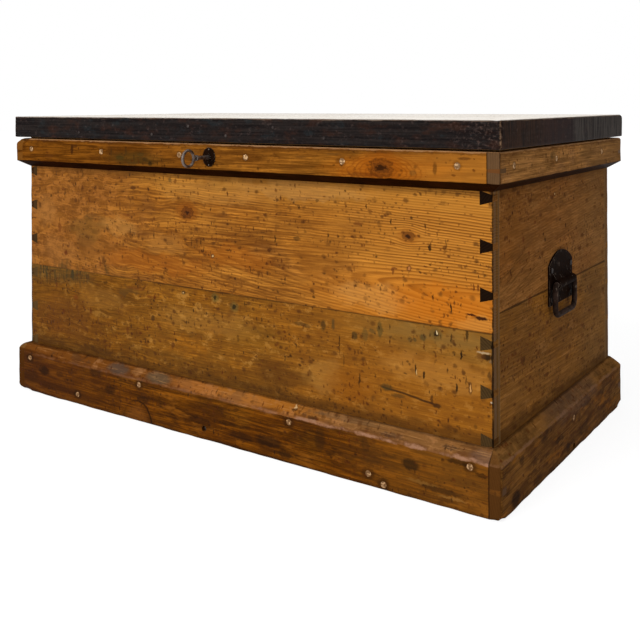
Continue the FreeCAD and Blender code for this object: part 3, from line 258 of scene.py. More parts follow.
def make_mark_group():
    """The node group that lays one oval mark over a colour."""
    tree = bpy.data.node_groups.new("oval_mark", "ShaderNodeTree")
    for name, kind in (("Colour", "Color"), ("Point", "Vector"), ("Scale", "Vector"), ("Offset", "Vector"),
                       ("Share", "Float"), ("Tone", "Color")):
        tree.interface.new_socket(name, in_out="INPUT", socket_type="NodeSocket" + kind)
    tree.interface.new_socket("Colour", in_out="OUTPUT", socket_type="NodeSocketColor")
    start = tree.nodes.new("NodeGroupInput").outputs
    point, scale, offset = (start[name] for name in ("Point", "Scale", "Offset"))
    centred = add(tree, "VectorMath", point, scale, offset, operation="MULTIPLY_ADD")
    reach = add(tree, "VectorMath", centred.outputs[0], operation="LENGTH")
    share = Field(tree, reach.outputs["Value"]).step(0.62, 1.25, start["Share"], 0)
    end = tree.nodes.new("NodeGroupOutput")
    tree.links.new(mix(tree, share, start["Colour"], start["Tone"]), end.inputs[0])
    return tree


MARK = make_mark_group()


class Finish:
    """A material in the making, in millimetres. The piece it is for lies along x or along y."""

    def __init__(self, name, seed, along="x"):
        self.material = bpy.data.materials.new(name)
        self.tree = fresh_tree(self.material)
        self.seed = seed
        self.long, self.wide = (0, 1) if along == "x" else (1, 0)
        coordinates = add(self.tree, "TexCoord").outputs
        self.x, self.y, self.z = (f * 1000 for f in self.split(coordinates["Object"]))
        self.facing = self.split(coordinates["Normal"])
        self.run = (self.x, self.y)[self.long]
        self.out = (self.x, self.y)[self.wide]

    def split(self, socket):
        return tuple(Field(self.tree, o) for o in add(self.tree, "SeparateXYZ", socket).outputs)

    def attribute(self, name):
        """A number that the mesh carries, 0 where it doesn't."""
        return Field(self.tree, add(self.tree, "Attribute", attribute_name=name).outputs["Fac"])

    def faces(self, axis, low=0.6, high=0.8):
        """1 where the surface faces along an axis, either way."""
        return abs(self.facing[axis]).step(low, high)

    def cloud(self, sizes, offset, detail=2, roughness=0.5):
        """Noise over the finish's own place, from a stretch that the offset picks."""
        return cloud(self.place, sizes, self.seed + offset, detail, roughness)

    def mix(self, share, first, second):
        return mix(self.tree, share, first, second)

    def paint(self, share, colour, way="MIX"):
        """Lays a colour over what is there, by a share from 0 to 1."""
        self.colour = mix(self.tree, share, self.colour, colour, way)

    def blotch(self, sizes, offset, low, high, share, tone):
        """Cloudy stains where the noise passes from low to high."""
        self.paint(self.cloud(sizes, offset, 4, 0.62).step(low, high) * share, tone)

    def shade(self, field, dark, dark_tone, pale, pale_tone, share=1):
        """Darkens where a noise is high and lightens where it is low, each (low, high, share)."""
        for (low, high, part), tone in ((dark, dark_tone), (pale, pale_tone)):
            self.paint(field.step(low, high) * (part * share), tone)

    def done(self, rough, height, depth, metal=0, specular=0.5):
        """Joins colour, roughness and height (0 to 1, as deep as depth millimetres) to the shader."""
        bump = add(self.tree, "Bump")
        for name, value in (("Strength", 1), ("Distance", depth * MM), ("Height", height)):
            plug(self.tree, bump.inputs[name], value)
        shader = add(self.tree, "BsdfPrincipled")
        for name, value in (("Base Color", self.colour), ("Roughness", rough), ("Metallic", metal),
                            ("Specular IOR Level", specular), ("Normal", bump.outputs[0])):
            plug(self.tree, shader.inputs[name], value)
        add(self.tree, "OutputMaterial", shader.outputs[0])
        return self.material


# Camera, floor and lights

def make_camera():
    """The camera at the photograph's place."""
    data = bpy.data.cameras.new("camera")
    data.lens = CAMERA_LENS
    data.sensor_width = CAMERA_SENSOR
    data.shift_y = CAMERA_SHIFT
    camera = bpy.data.objects.new("camera", data)
    bpy.context.scene.collection.objects.link(camera)
    turn = Matrix.Rotation(CAMERA_YAW, 4, "Z") @ Matrix.Rotation(math.pi / 2, 4, "X")
    camera.matrix_world = Matrix.Translation(CAMERA_PLACE) @ turn @ Matrix.Rotation(-CAMERA_ROLL, 4, "Z")
    bpy.context.scene.camera = camera


def make_floor(reach=14, drop=0.3 * MM):
    """A pale floor just below the chest that reads as white to the camera and keeps a soft shadow."""
    mesh = bpy.data.meshes.new("floor")
    corners = [(-reach, -reach, 0), (reach, -reach, 0), (reach, reach, 0), (-reach, reach, 0)]
    mesh.from_pydata(corners, [], [(0, 1, 2, 3)])
    floor = bpy.data.objects.new("floor", mesh)
    floor.location.z = -drop
    bpy.context.scene.collection.objects.link(floor)
    material = bpy.data.materials.new("floor_paper")
    tree = fresh_tree(material)
    path = add(tree, "LightPath").outputs
    seen = Field(tree, path["Is Camera Ray"]).most(path["Is Glossy Ray"]).most(path["Is Transmission Ray"])
    away = add(tree, "VectorMath", add(tree, "TexCoord").outputs["Object"], operation="LENGTH")
    strength = add(tree, "MapRange", away.outputs["Value"], 0.8, 3, 0.86, 1)
    glow = add(tree, "Emission", None, strength.outputs[0])
    shade = add(tree, "BsdfDiffuse", (0.2, 0.2, 0.2, 1))
    both = add(tree, "AddShader", shade.outputs[0], glow.outputs[0])
    paper = add(tree, "BsdfDiffuse", (0.62, 0.61, 0.6, 1))
    mixed = add(tree, "MixShader", seen, paper.outputs[0], both.outputs[0])
    add(tree, "OutputMaterial", mixed.outputs[0])
    mesh.materials.append(material)
    floor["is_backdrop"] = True


def make_world():
    """An even studio sky: white to the camera, weaker as light."""
    world = bpy.data.worlds.new("studio")
    bpy.context.scene.world = world
    tree = fresh_tree(world)
    seen = add(tree, "LightPath").outputs["Is Camera Ray"]
    strength = add(tree, "MapRange", seen, None, None, 0.24, 1)
    sky = add(tree, "Background", (1, 1, 1, 1), strength.outputs[0])
    add(tree, "OutputWorld", sky.outputs[0])


def make_light(name, place, target, size, watts):
    """A square soft light that looks at a point."""
    data = bpy.data.lights.new(name, "AREA")
    data.shape = "SQUARE"
    data.size = size
    data.energy = watts
    light = bpy.data.objects.new(name, data)
    light.location = place
    light.rotation_mode = "QUATERNION"
    light.rotation_quaternion = (Vector(target) - Vector(place)).to_track_quat("-Z", "Y")
    bpy.context.scene.collection.objects.link(light)


make_camera()
make_floor()
make_world()
make_light("key", (-0.3, -3.4, 2.3), (0.1, -0.2, 0.2), 2.4, 112)
make_light("top", (0.4, -0.4, 3.2), (0.1, 0, 0.3), 2.6, 50)
make_light("side", (3.2, 0.2, 1.2), (0.4, 0, 0.3), 2.2, 16)
bpy.context.scene.view_settings.view_transform = "Standard"


# Wood

def growth(place, seed, ring, heart, drift, wave, knots):
    """Late wood from 0 to 1 where the grain runs along the first axis of place.

    ring is the width of a year's growth, heart the tree's centre beside the board where u is 0, drift how far
    the centre moves for each millimetre along the board, and knots are (u, v, radius)."""
    u, v, w = place
    slow = cloud(place, (420, 85, 85), seed, 1.5) - 0.5
    quick = cloud(place, (110, 22, 30), seed + 2) - 0.5
    across = v + slow * (2.4 * wave) + quick * (0.5 * wave)
    for knot_u, knot_v, radius in knots:
        near_u = (u - knot_u) * (1 / (3.2 * radius))
        near_v = (v - knot_v) * (1 / (2.2 * radius))
        across = across - (v - knot_v) * (-(near_u.square() + near_v.square())).node("EXPONENT") * 0.78
    off_v = across - heart[0] - u * drift[0]
    off_w = w - heart[1] - u * drift[1] - slow * wave
    years = (off_v.square() + off_w.square()).node("SQRT") * (1 / ring)
    years = years + (cloud(place, (60, 10, 10), seed + 5, 1) - 0.5) * 0.6
    width = cloud(Place(years, 0, 0), (2.1, 1, 1), seed + 9, 1).step(0.3, 0.7, 0.45, 1)
    season = years.part()
    return season.step(0.2, 0.84) * season.step(0.88, 1, 1, 0) * width


def knot_marks(f, knots, place=None):
    """Brown ringed knots with a dark rim and a cracked heart."""
    place = place or f.place
    u, v, w = place
    for knot_u, knot_v, radius in knots:
        wobble = (cloud(place, (7, 5, 7), f.seed + knot_u * 0.01, 4, 0.66) - 0.5) * 1.5
        reach = oval(u, v, (knot_u, knot_v), (radius / 0.68, radius)) + wobble
        rings = (reach * (1.7 + radius * 0.1)).part().step(0.2, 0.9)
        f.paint(reach.step(0.8, 2.6, 0.42, 0), (136, 72, 16))
        f.paint(reach.step(0.5, 1.24, 0.8, 0), f.mix(rings * 0.7, (112, 60, 19), (58, 30, 11)))
        f.paint(reach.step(0.8, 1) * reach.step(1.02, 1.3, 0.45, 0), (56, 29, 10))
        f.paint(reach.step(0.16, 0.6, 0.85, 0), (36, 19, 8))


def grime(f, amount, cell=(22, 18), stained=0.55):
    """The small dents, pores and dark ticks of an old surface. Returns how deep they are, from 0 to 1."""
    u, v, w = f.place
    bend = f.cloud((5, 5, 5), 10, 2, 0.6) - 0.5
    bent = Place(u + bend * 5, v - bend * 4, w)
    crowd = f.cloud((100, 60, 80), 11, 3, 0.6).step(0.38, 0.66, 0.06, 0.66) * amount
    upright = specks(bent, (9, 24), f.seed + 12, 0.1, 0.23, crowd)
    lying = specks(bent, (24, 9), f.seed + 13, 0.08, 0.2, crowd)
    dots = specks(bent, (14, 12), f.seed + 14, 0.1, 0.28, crowd)
    pores = specks(bent, (9, 8), f.seed + 16, 0.12, 0.3, crowd * 1.3)
    tone = f.mix(f.cloud((34, 34, 34), 15).step(0.4, 0.6), (40, 22, 9), (84, 38, 10))
    f.paint(specks(bent, cell, f.seed + 17, 0.13, 0.3, crowd * 1.4) * stained, (76, 41, 14))
    f.paint(pores * 0.6, (84, 46, 16))
    depth = (upright * 0.9).most(lying * 0.65).most(dots * 0.8)
    f.paint(depth, tone)
    return depth.most(pores * 0.4)


def pine(f, tones, heart, ring, drift, knots=(), contrast=0.5, wave=5, lively=1):
    """Bare pine: early and late wood, broad patches, streaks, fine fibres and knots."""
    early, late, patch_a, patch_b = tones
    pale = tints_near(early, 1.75)
    figure = growth(f.place, f.seed, ring, heart, drift, wave, knots)
    thread = f.cloud((38, 1.1, 1.1), 1, 3, 0.62)
    streak = f.cloud((130, 12, 14), 3, 4, 0.66)
    mottle = f.cloud((34, 14, 20), 8, 4, 0.72)
    line = f.cloud((120, 5.5, 5.5), 9, 4, 0.7)
    hair = f.cloud((90, 2.4, 2.4), 7, 4, 0.7)
    f.colour = f.mix(f.cloud((190, 55, 60), 4, 3, 0.6).step(0.38, 0.6), early, patch_a)
    f.paint(f.cloud((120, 70, 90), 6, 4, 0.62).step(0.5, 0.66), patch_b)
    f.shade(streak, (0.5, 0.66, 0.46), late, (0.48, 0.34, 0.34), pale, lively)
    f.shade(mottle, (0.53, 0.68, 0.5), late, (0.45, 0.32, 0.3), pale, lively)
    f.paint(figure * contrast, late)
    f.paint(thread.step(0.36, 0.72) * 0.45, late, "MULTIPLY")
    f.shade(line, (0.5, 0.63, 0.44), late, (0.46, 0.34, 0.28), pale, lively)
    f.shade(hair, (0.5, 0.62, 0.5), late, (0.46, 0.34, 0.4), pale, lively)
    knot_marks(f, knots)
    return figure, thread


def marks_on(f, u, v, marks, where, ragged=1.6, seed=3, cell=6):
    """Oval marks (u, v, half width, half height, share, tone) on one face, with rims as ragged as that."""
    flat = Place(u, v, 0)
    push = (cloud(flat, (cell, cell, cell), seed, 3, 0.6) - 0.5) * (2 * ragged)
    shove = (cloud(flat, (cell, cell, cell), seed + 1, 3, 0.6) - 0.5) * (2 * ragged)
    point = Place(u + push, v + shove, 0).whole
    bare = f.colour
    for mark_u, mark_v, half_u, half_v, share, tone in marks:
        scale = [1 / half_u, 1 / half_v, 0]
        offset = [-mark_u / half_u, -mark_v / half_v, 0]
        made = add(f.tree, "Group", f.colour, point, scale, offset, share, tone, node_tree=MARK)
        f.colour = made.outputs[0]
    f.colour = f.mix(where, bare, f.colour)


def end_wood(f, share, right, left):
    """End grain at the right and back corners. At the left end the wear hides it."""
    return f.mix(f.x.step(-474, -462), f.mix(share, *left), f.mix(share, *right))


def corner(f, half_x, half_y, share):
    """Black dirt along a vertical corner arris and the joint line beside it."""
    ragged = (f.cloud((8, 8, 8), 41, 3, 0.6) - 0.5) * 2.6
    near_x = (abs(f.x) - half_x / MM + ragged).step(-2.2, -0.6)
    near_y = (abs(f.y) - half_y / MM + ragged).step(-2.2, -0.6)
    f.paint(near_x * near_y * share, (34, 20, 8))
    joint = abs(f.x - JOINT_X / MM + ragged * 0.3).step(0.5, 1.3, 1, 0)
    f.paint(joint * f.faces(1) * share, (26, 14, 6))


def pellet_centres(node):
    """The middle of each pellet, in millimetres."""
    bm = bmesh.new()
    bm.from_mesh(frame["nodes"][node].data)
    bmesh.ops.remove_doubles(bm, verts=bm.verts, dist=WELD)
    centres, seen = [], set()
    for start in bm.verts:
        if start.index in seen:
            continue
        group, queue = [], [start]
        seen.add(start.index)
        while queue:
            vert = queue.pop()
            group.append(vert.co.copy())
            for other in (edge.other_vert(vert) for edge in vert.link_edges):
                if other.index not in seen:
                    seen.add(other.index)
                    queue.append(other)
        centres.append(sum(group, Vector()) / len(group) / MM)
    bm.free()
    return centres


def pellet_rims(f, nodes, half, share, tone, where):
    """Dark halos round the pellets of the front, or of the right side on a piece along y."""
    side, edge = ((-1, BAND_Y), (1, BAND_X))[f.long]
    marks = [(c[f.long], c.z, *half, share, tone) for node in nodes for c in pellet_centres(node)
             if c[f.wide] * side > edge / MM - NEAR_FACE]
    marks_on(f, f.run, f.z, marks, where, 3, 71)


# Marks on the faces, each (across, up, half width, half height, share, tone), with sizes in millimetres

BLACK = (30, 18, 8)
RED = (82, 30, 8)
GREEN = (62, 54, 30)
PALE = (206, 168, 110)
UPPER_KNOTS = ((-70, 366, 8.5), (352, 360, 6))
UPPER_ZONES = (
    (-318, 322, 52, 20, 0.5, (112, 78, 30)), (-236, 330, 50, 15, 0.24, (206, 150, 76)),
    (-440, 348, 36, 30, 0.22, (186, 130, 68)), (-395, 274, 50, 26, 0.2, (178, 120, 60)),
    (-306, 288, 52, 22, 0.45, (118, 72, 24)), (-150, 274, 130, 18, 0.42, (158, 86, 20)),
    (30, 300, 80, 20, 0.4, (156, 84, 16)), (-20, 404, 120, 20, 0.22, (212, 152, 72)),
    (175, 416, 120, 14, 0.2, (190, 146, 88)), (205, 322, 50, 17, 0.42, (126, 72, 18)),
    (292, 268, 66, 20, 0.26, (212, 158, 84)), (405, 272, 78, 26, 0.36, (196, 106, 12)),
    (458, 250, 34, 8, 0.25, (216, 154, 74)), (-120, 310, 50, 16, 0.2, (196, 136, 64)),
)
UPPER_MARKS = (
    (-13, 298, 3.4, 3, 0.9, (60, 28, 12)), (-13, 298, 1.9, 1.7, 0.9, PALE), (386, 347, 2.2, 4.6, 0.9, BLACK),
    (353, 315, 4.2, 4.8, 0.75, (70, 26, 14)), (353, 315, 2.2, 2.8, 0.8, (186, 120, 62)),
    (327, 309, 2, 5.5, 0.7, (90, 40, 18)), (331, 313, 4, 1.4, 0.7, (90, 40, 18)),
    (315, 282, 4, 3.6, 0.35, (90, 44, 18)), (324, 379, 1.3, 4.4, 0.85, BLACK),
    (411, 354, 1.4, 7, 0.6, (70, 40, 14)), (418, 267, 1.4, 7.5, 0.9, BLACK),
    (-380, 383, 1.3, 8.5, 0.8, BLACK), (-148, 321, 1.2, 7.5, 0.7, BLACK),
    (158, 341, 7, 3.6, 0.6, (48, 34, 16)), (116, 337, 1.4, 7, 0.75, BLACK),
    (-199, 401, 7, 4, 0.7, (70, 36, 14)), (-97, 417, 3, 5, 0.6, RED), (-60, 318, 1.4, 8, 0.65, (70, 38, 14)),
    (-48, 316, 1.3, 9, 0.65, (70, 38, 14)), (-39, 319, 1.4, 6, 0.75, BLACK), (20, 311, 7, 1.6, 0.6, BLACK),
    (-378, 270, 4.5, 5.5, 0.75, RED), (-395, 316, 5, 9, 0.55, RED), (-325, 299, 26, 14, 0.35, (92, 62, 26)),
    (-300, 343, 30, 5, 0.35, (96, 66, 30)), (-109, 419, 4, 4, 0.6, GREEN), (-330, 420, 2, 8, 0.5, BLACK),
    (270, 372, 9, 3, 0.5, RED), (448, 262, 9, 1.3, 0.95, (60, 18, 8)),
    (462, 259, 10, 2.8, 0.95, (40, 12, 6)), (452, 300, 1.4, 5.5, 0.8, (80, 30, 8)),
    (458, 300, 1.2, 5, 0.7, (80, 30, 8)), (409, 349, 3, 4, 0.7, (80, 40, 12)), (367, 315, 3, 2, 0.4, BLACK),
    (-420, 375, 2.5, 4, 0.6, BLACK), (-240, 300, 3, 2.2, 0.6, RED), (-284, 260, 2.4, 6, 0.6, RED),
    (-214, 352, 10, 1.6, 0.5, (110, 50, 14)), (60, 371, 2.4, 2.4, 0.5, RED), (196, 402, 3, 2, 0.5, BLACK),
)
LOWER_ZONES = (
    (-206, 218, 32, 8, 0.5, (80, 56, 24)), (-30, 186, 110, 22, 0.22, (186, 132, 58)),
    (-380, 152, 80, 42, 0.35, (112, 64, 20)), (0, 112, 140, 16, 0.4, (88, 54, 14)),
    (202, 140, 42, 26, 0.2, (190, 142, 70)), (250, 134, 40, 24, 0.5, (132, 74, 12)),
    (134, 126, 50, 20, 0.5, (74, 42, 12)), (392, 174, 90, 22, 0.24, (202, 142, 64)),
    (400, 224, 84, 11, 0.25, (132, 106, 56)), (85, 176, 66, 20, 0.28, (112, 76, 20)),
    (-280, 196, 66, 18, 0.18, (176, 122, 52)), (-120, 112, 80, 12, 0.35, (92, 58, 16)),
)
LOWER_MARKS = (
    (-9, 230, 8.5, 8, 0.5, (98, 86, 40)), (-9, 230, 3.4, 4.2, 0.85, (34, 30, 14)),
    (32, 220, 9.5, 8.5, 0.5, (96, 84, 42)), (32, 220, 4.2, 4.2, 0.85, (34, 30, 16)),
    (-79, 230, 5, 4.5, 0.6, GREEN), (-79, 230, 3.2, 2.8, 0.9, (56, 26, 12)), (-79, 230, 1.7, 1.5, 0.9, PALE),
    (395, 229, 10, 9, 0.45, (80, 70, 36)), (395, 229, 3.6, 4.4, 0.85, (24, 18, 10)),
    (396, 230, 1.6, 2.4, 0.95, (226, 200, 150)), (375, 221, 5.5, 5, 0.7, (66, 58, 32)),
    (354, 215, 4, 4, 0.5, (70, 58, 30)), (442, 238, 2, 13, 0.8, (40, 26, 10)),
    (418, 226, 1.5, 7, 0.75, BLACK), (433, 205, 1.9, 6.8, 0.95, BLACK), (363, 174, 1.5, 8.5, 0.9, BLACK),
    (364, 170, 0.8, 4, 0.9, PALE), (376, 168, 1.7, 5.8, 0.9, BLACK), (426, 159, 1.6, 6.5, 0.9, BLACK),
    (446, 163, 2.6, 8.5, 0.9, (52, 20, 10)), (446, 163, 1.3, 6.5, 0.9, (206, 150, 84)),
    (388, 136, 2.4, 7.5, 0.7, (60, 32, 12)), (436, 182, 3, 4.5, 0.7, (60, 28, 12)),
    (440, 172, 1, 7, 0.6, BLACK), (163, 211, 13, 2.6, 0.6, (58, 40, 18)),
    (176, 209, 6.5, 3.6, 0.55, (60, 42, 20)), (206, 214, 5, 8.5, 0.7, (56, 42, 18)),
    (224, 218, 3, 9, 0.6, GREEN), (262, 207, 5, 6.5, 0.7, (50, 42, 20)),
    (280, 211, 5.5, 10, 0.5, (74, 62, 30)), (305, 222, 4.5, 12, 0.65, (70, 60, 28)),
    (292, 218, 6, 3, 0.5, GREEN), (235, 190, 1.2, 16, 0.85, (60, 32, 10)),
    (243, 168, 1, 10, 0.6, (70, 40, 12)), (270, 144, 1.5, 9.5, 0.75, BLACK), (362, 216, 3, 3, 0.6, GREEN),
    (-151, 178, 5, 5, 0.75, (60, 38, 16)), (-136, 165, 4.5, 3.6, 0.6, (80, 34, 14)),
    (-228, 189, 5, 4.5, 0.5, (90, 50, 18)), (-214, 147, 3.6, 7.5, 0.65, (90, 44, 14)),
    (-104, 138, 4, 6.5, 0.7, (80, 40, 14)), (-168, 131, 5, 4, 0.5, (80, 40, 14)),
    (-160, 214, 7, 2.6, 0.6, RED), (-147, 214, 3.5, 3.5, 0.75, RED),
    (-190, 224, 24, 2.5, 0.4, (110, 56, 18)), (-310, 170, 3.5, 7, 0.6, RED),
    (-350, 190, 6, 5, 0.5, (110, 50, 14)), (-385, 160, 4, 4.5, 0.5, RED), (-405, 205, 3, 6, 0.5, RED),
    (-270, 226, 6, 3, 0.5, BLACK), (335, 132, 12, 3, 0.55, (60, 46, 22)),
    (316, 141, 10, 5, 0.6, (60, 52, 26)), (396, 129, 7, 3.2, 0.75, (46, 26, 12)), (120, 174, 3, 4, 0.4, RED),
    (40, 170, 2.5, 6, 0.4, BLACK), (470, 208, 8, 4, 0.9, (26, 16, 8)), (462, 208, 7, 5, 0.6, (90, 52, 20)),
    (454, 112, 3, 3, 0.4, BLACK), (466, 213.5, 10, 1.5, 0.8, (176, 150, 116)),
    (476, 203, 3.5, 2, 0.7, (120, 96, 66)), (477, 148, 3, 1.2, 0.8, (196, 180, 150)),
    (474, 184, 3, 6, 0.6, (44, 30, 16)),
)
SIDE_MARKS = (
    (-20, 406, 3.6, 4, 0.8, (60, 30, 14)), (-20, 406, 1.8, 2, 0.9, PALE), (-20, 428, 2, 7, 0.6, BLACK),
    (-126, 262, 7, 8, 0.4, RED), (-183, 231, 8, 3, 0.5, (60, 40, 18)), (-63, 341, 3, 3.5, 0.8, BLACK),
    (-70, 350, 2.5, 2.5, 0.7, BLACK), (4, 364, 3, 3, 0.7, BLACK), (30, 352, 3, 4, 0.7, BLACK),
    (-104, 372, 4, 3, 0.6, RED), (-150, 352, 4, 5, 0.5, RED), (-128, 330, 3, 4, 0.5, RED),
    (60, 330, 3, 3, 0.6, BLACK), (-86, 318, 3, 3, 0.6, BLACK), (-40, 214, 3, 5, 0.5, BLACK),
    (40, 190, 4, 3, 0.5, BLACK), (-150, 180, 3, 5, 0.5, BLACK), (-90, 150, 3, 3, 0.5, BLACK),
    (100, 250, 3, 3, 0.5, BLACK), (120, 170, 4, 4, 0.5, BLACK), (24, 402, 2.5, 2.5, 0.6, BLACK),
    (70, 392, 3, 2.5, 0.5, BLACK),
)
BAND_MARKS = (
    (-337, 466, 4, 9, 0.8, (50, 26, 10)), (-330, 472, 9, 3, 0.6, (60, 32, 12)),
    (-211, 455, 11, 4, 0.6, (60, 50, 20)), (-137, 447, 5, 4, 0.7, (34, 28, 12)),
    (-160, 462, 9, 3, 0.5, (64, 50, 22)), (-180, 446, 14, 3, 0.5, (70, 50, 22)),
    (404, 459, 3.4, 9, 0.6, (70, 40, 14)), (370, 452, 6, 4, 0.4, (84, 64, 30)),
    (448, 474, 10, 2.2, 0.6, (70, 36, 14)), (432, 451, 3, 2, 0.6, (80, 36, 10)),
    (180, 468, 12, 2, 0.4, (90, 56, 22)), (60, 450, 6, 3, 0.4, (80, 46, 18)),
    (290, 446, 30, 3.2, 0.5, (84, 36, 10)), (240, 474, 16, 2, 0.4, (90, 60, 26)),
    (-40, 470, 18, 2.4, 0.4, (92, 60, 26)), (-400, 452, 12, 4, 0.4, (90, 50, 18)),
    (-233, 464, 2.4, 8, 0.5, (62, 42, 18)), (-196, 466, 2.6, 7, 0.5, (60, 42, 18)),
    (-176, 456, 2.2, 8, 0.5, (58, 40, 16)), (-150, 454, 7, 3, 0.6, (52, 38, 16)),
)
BAND_SIDE_MARKS = ((-109, 471, 2, 4, 0.7, BLACK), (-80, 470, 12, 6, 0.5, (60, 50, 28)))
PLINTH_MARKS = (
    (-421, 46, 16, 9, 0.75, (34, 18, 7)), (-375, 46, 10, 5, 0.5, (40, 20, 8)),
    (-277, 66, 17, 8, 0.7, (40, 22, 10)), (-240, 42, 14, 8, 0.7, (38, 20, 8)),
    (-158, 40, 15, 6, 0.6, (44, 24, 9)), (-27, 30, 24, 6, 0.5, (50, 26, 9)),
    (60, 22, 26, 7, 0.6, (42, 22, 8)), (114, 26, 28, 9, 0.75, (36, 20, 9)),
    (146, 12, 16, 5, 0.7, (44, 26, 10)), (211, 49, 10, 17, 0.6, (48, 28, 10)),
    (290, 58, 8, 10, 0.5, (50, 30, 12)), (298, 40, 20, 6, 0.4, (60, 36, 14)),
    (363, 46, 15, 8, 0.8, (38, 26, 12)), (409, 22, 34, 4, 0.6, (46, 30, 14)),
    (380, 26, 26, 2.4, 0.35, (150, 106, 48)), (428, 15, 22, 2.2, 0.35, (160, 116, 58)),
    (398, 10, 40, 3, 0.5, (50, 30, 14)), (-460, 30, 24, 14, 0.5, (44, 22, 8)),
    (-380, 20, 60, 8, 0.5, (50, 24, 8)), (0, 58, 30, 5, 0.45, (60, 32, 10)),
    (436, 66, 18, 4, 0.7, (34, 20, 8)), (470, 56, 10, 3, 0.7, (34, 20, 8)),
)
PLINTH_SIDE_MARKS = (
    (-226, 14, 16, 12, 0.75, (26, 14, 8)), (-204, 58, 9, 6, 0.6, (30, 18, 8)),
    (-136, 10, 26, 6, 0.5, (36, 22, 10)), (-115, 58, 14, 5, 0.5, (40, 24, 12)),
    (149, 51, 20, 8, 0.5, (40, 26, 14)), (60, 20, 24, 8, 0.45, (40, 26, 12)),
    (-60, 40, 12, 5, 0.5, (38, 22, 10)), (-13, 14, 10, 8, 0.6, (34, 20, 10)),
)
CHAMFER_MARKS = (
    (-226, 80, 26, 8, 0.75, (74, 62, 52)), (-128, 80, 30, 8, 0.7, (84, 72, 54)),
    (-180, 82, 14, 6, 0.5, (140, 96, 56)), (-40, 80, 60, 8, 0.45, (168, 104, 48)),
    (60, 80, 50, 8, 0.35, (160, 104, 54)), (159, 84, 2.6, 2.6, 0.8, (206, 170, 120)),
    (159, 81, 6, 2.4, 0.7, (40, 20, 10)), (196, 76, 10, 3, 0.7, (44, 24, 12)),
    (330, 78, 20, 3, 0.5, (58, 44, 36)), (420, 80, 12, 2.4, 0.6, (44, 32, 26)),
    (470, 78, 20, 8, 0.5, (96, 72, 60)), (250, 84, 60, 3, 0.45, (100, 76, 50)),
)


# The walls

def upper_front(f, figure):
    """The upper front board: pinkish brown and darker to the left, the darkening being painted shade, strong
    orange lines to the right.
    """
    x, z = f.x, f.z
    outer = (-f.y).step(*WALL_OUTER_Y)
    broad = cloud(f.place, (90, 50, 60), 2, 4, 0.6) - 0.5
    left = (x + broad * 240).step(-120, -340)
    curd = cloud(f.place, (24, 15, 20), 8, 4, 0.7)
    f.paint(left * 0.55, f.mix(curd.step(0.4, 0.6), (188, 122, 52), (126, 76, 25)))
    # painted shade darkening the left end
    f.paint(left * 0.85, (226, 220, 220), "MULTIPLY")
    right = (x - broad * 200).step(120, 380)
    f.paint(right * 0.5, (224, 148, 54))
    f.paint(figure * right * 0.85, (100, 52, 11))
    f.paint(right * z.step(330, 270) * 0.45, (190, 104, 16))
    golden = (z + broad * 120).step(380, 440) * (x + broad * 200).step(-260, -60)
    f.paint(golden * 0.35, (186, 128, 48))
    marks_on(f, x, z, UPPER_ZONES, outer, 24, 33, 34)
    crack = abs(z - 347.5 - (cloud(f.place, (70, 70, 70), 5) - 0.5) * 10)
    f.paint(crack.step(0.5, 1.4, 0.55, 0) * x.step(-100, -85) * x.step(85, 40) * outer, (84, 42, 12))
    smear = cloud(f.place, (26, 60, 60), 7, 3, 0.6).step(0.5, 0.7) * (z - 240).step(4, 30, 1, 0)
    f.paint(smear * x.step(-200, -260) * outer * 0.7, (52, 46, 22))
    seam_dirt = (z - SEAM_FRONT / MM - cloud(f.place, (40, 40, 40), 9, 3) * 3.2).step(-1.6, 0.5, 1, 0)
    f.paint(seam_dirt * outer * x.step(-340, -160, 0.3, 0.75), (46, 26, 8))
    knot_marks(f, UPPER_KNOTS, Place(x, z, f.y))
    marks_on(f, x, z, UPPER_MARKS, outer, 3)


def lower_front(f, figure):
    """The lower front board: olive tan, greenish under the seam at the right, black smudge at the left."""
    x, z = f.x, f.z
    outer = (-f.y).step(*WALL_OUTER_Y)
    broad = cloud(f.place, (150, 70, 60), 12, 3, 0.6)
    curd = cloud(f.place, (26, 15, 20), 15, 4, 0.7)
    f.shade(curd, (0.5, 0.62, 0.55), (106, 62, 16), (0.46, 0.34, 0.45), (192, 136, 60))
    f.paint((x + (broad - 0.5) * 400).step(40, 300) * 0.4, (150, 88, 22))
    # painted shade darkening the left end
    f.paint((x + (broad - 0.5) * 300).step(-100, -380) * 0.85, (208, 202, 176), "MULTIPLY")
    green = (z - 205 + (broad - 0.5) * 60).step(-26, 14) * x.step(180, 330)
    f.paint(green * outer * 0.36, (124, 98, 44))
    ticks = cloud(f.place, (4.5, 20, 42), 14, 3, 0.6).step(0.5, 0.6) * (z - 222).step(-22, 8)
    f.paint(ticks * x.step(-290, -340) * x.step(-478, -440) * outer * 0.9, (40, 34, 20))
    f.paint(x.step(-280, -340) * (z - 220).step(-22, 10) * outer * 0.35, (84, 72, 38))
    marks_on(f, x, z, LOWER_ZONES, outer, 24, 35, 34)
    crack = abs(z - 141 + (x - 306) * 0.122 + (cloud(f.place, (40, 40, 40), 5) - 0.5) * 4)
    f.paint(crack.step(0.6, 2.4, 0.85, 0) * x.step(300, 312) * x.step(400, 388) * outer, (48, 28, 12))
    seam_dirt = (-(z - SEAM_FRONT / MM) - cloud(f.place, (40, 40, 40), 9, 3) * 2.8).step(-1.8, 0.6, 1, 0)
    f.paint(seam_dirt * outer * x.step(-340, -160, 0.35, 0.85), (44, 28, 10))
    marks_on(f, x, z, LOWER_MARKS, outer, 3)


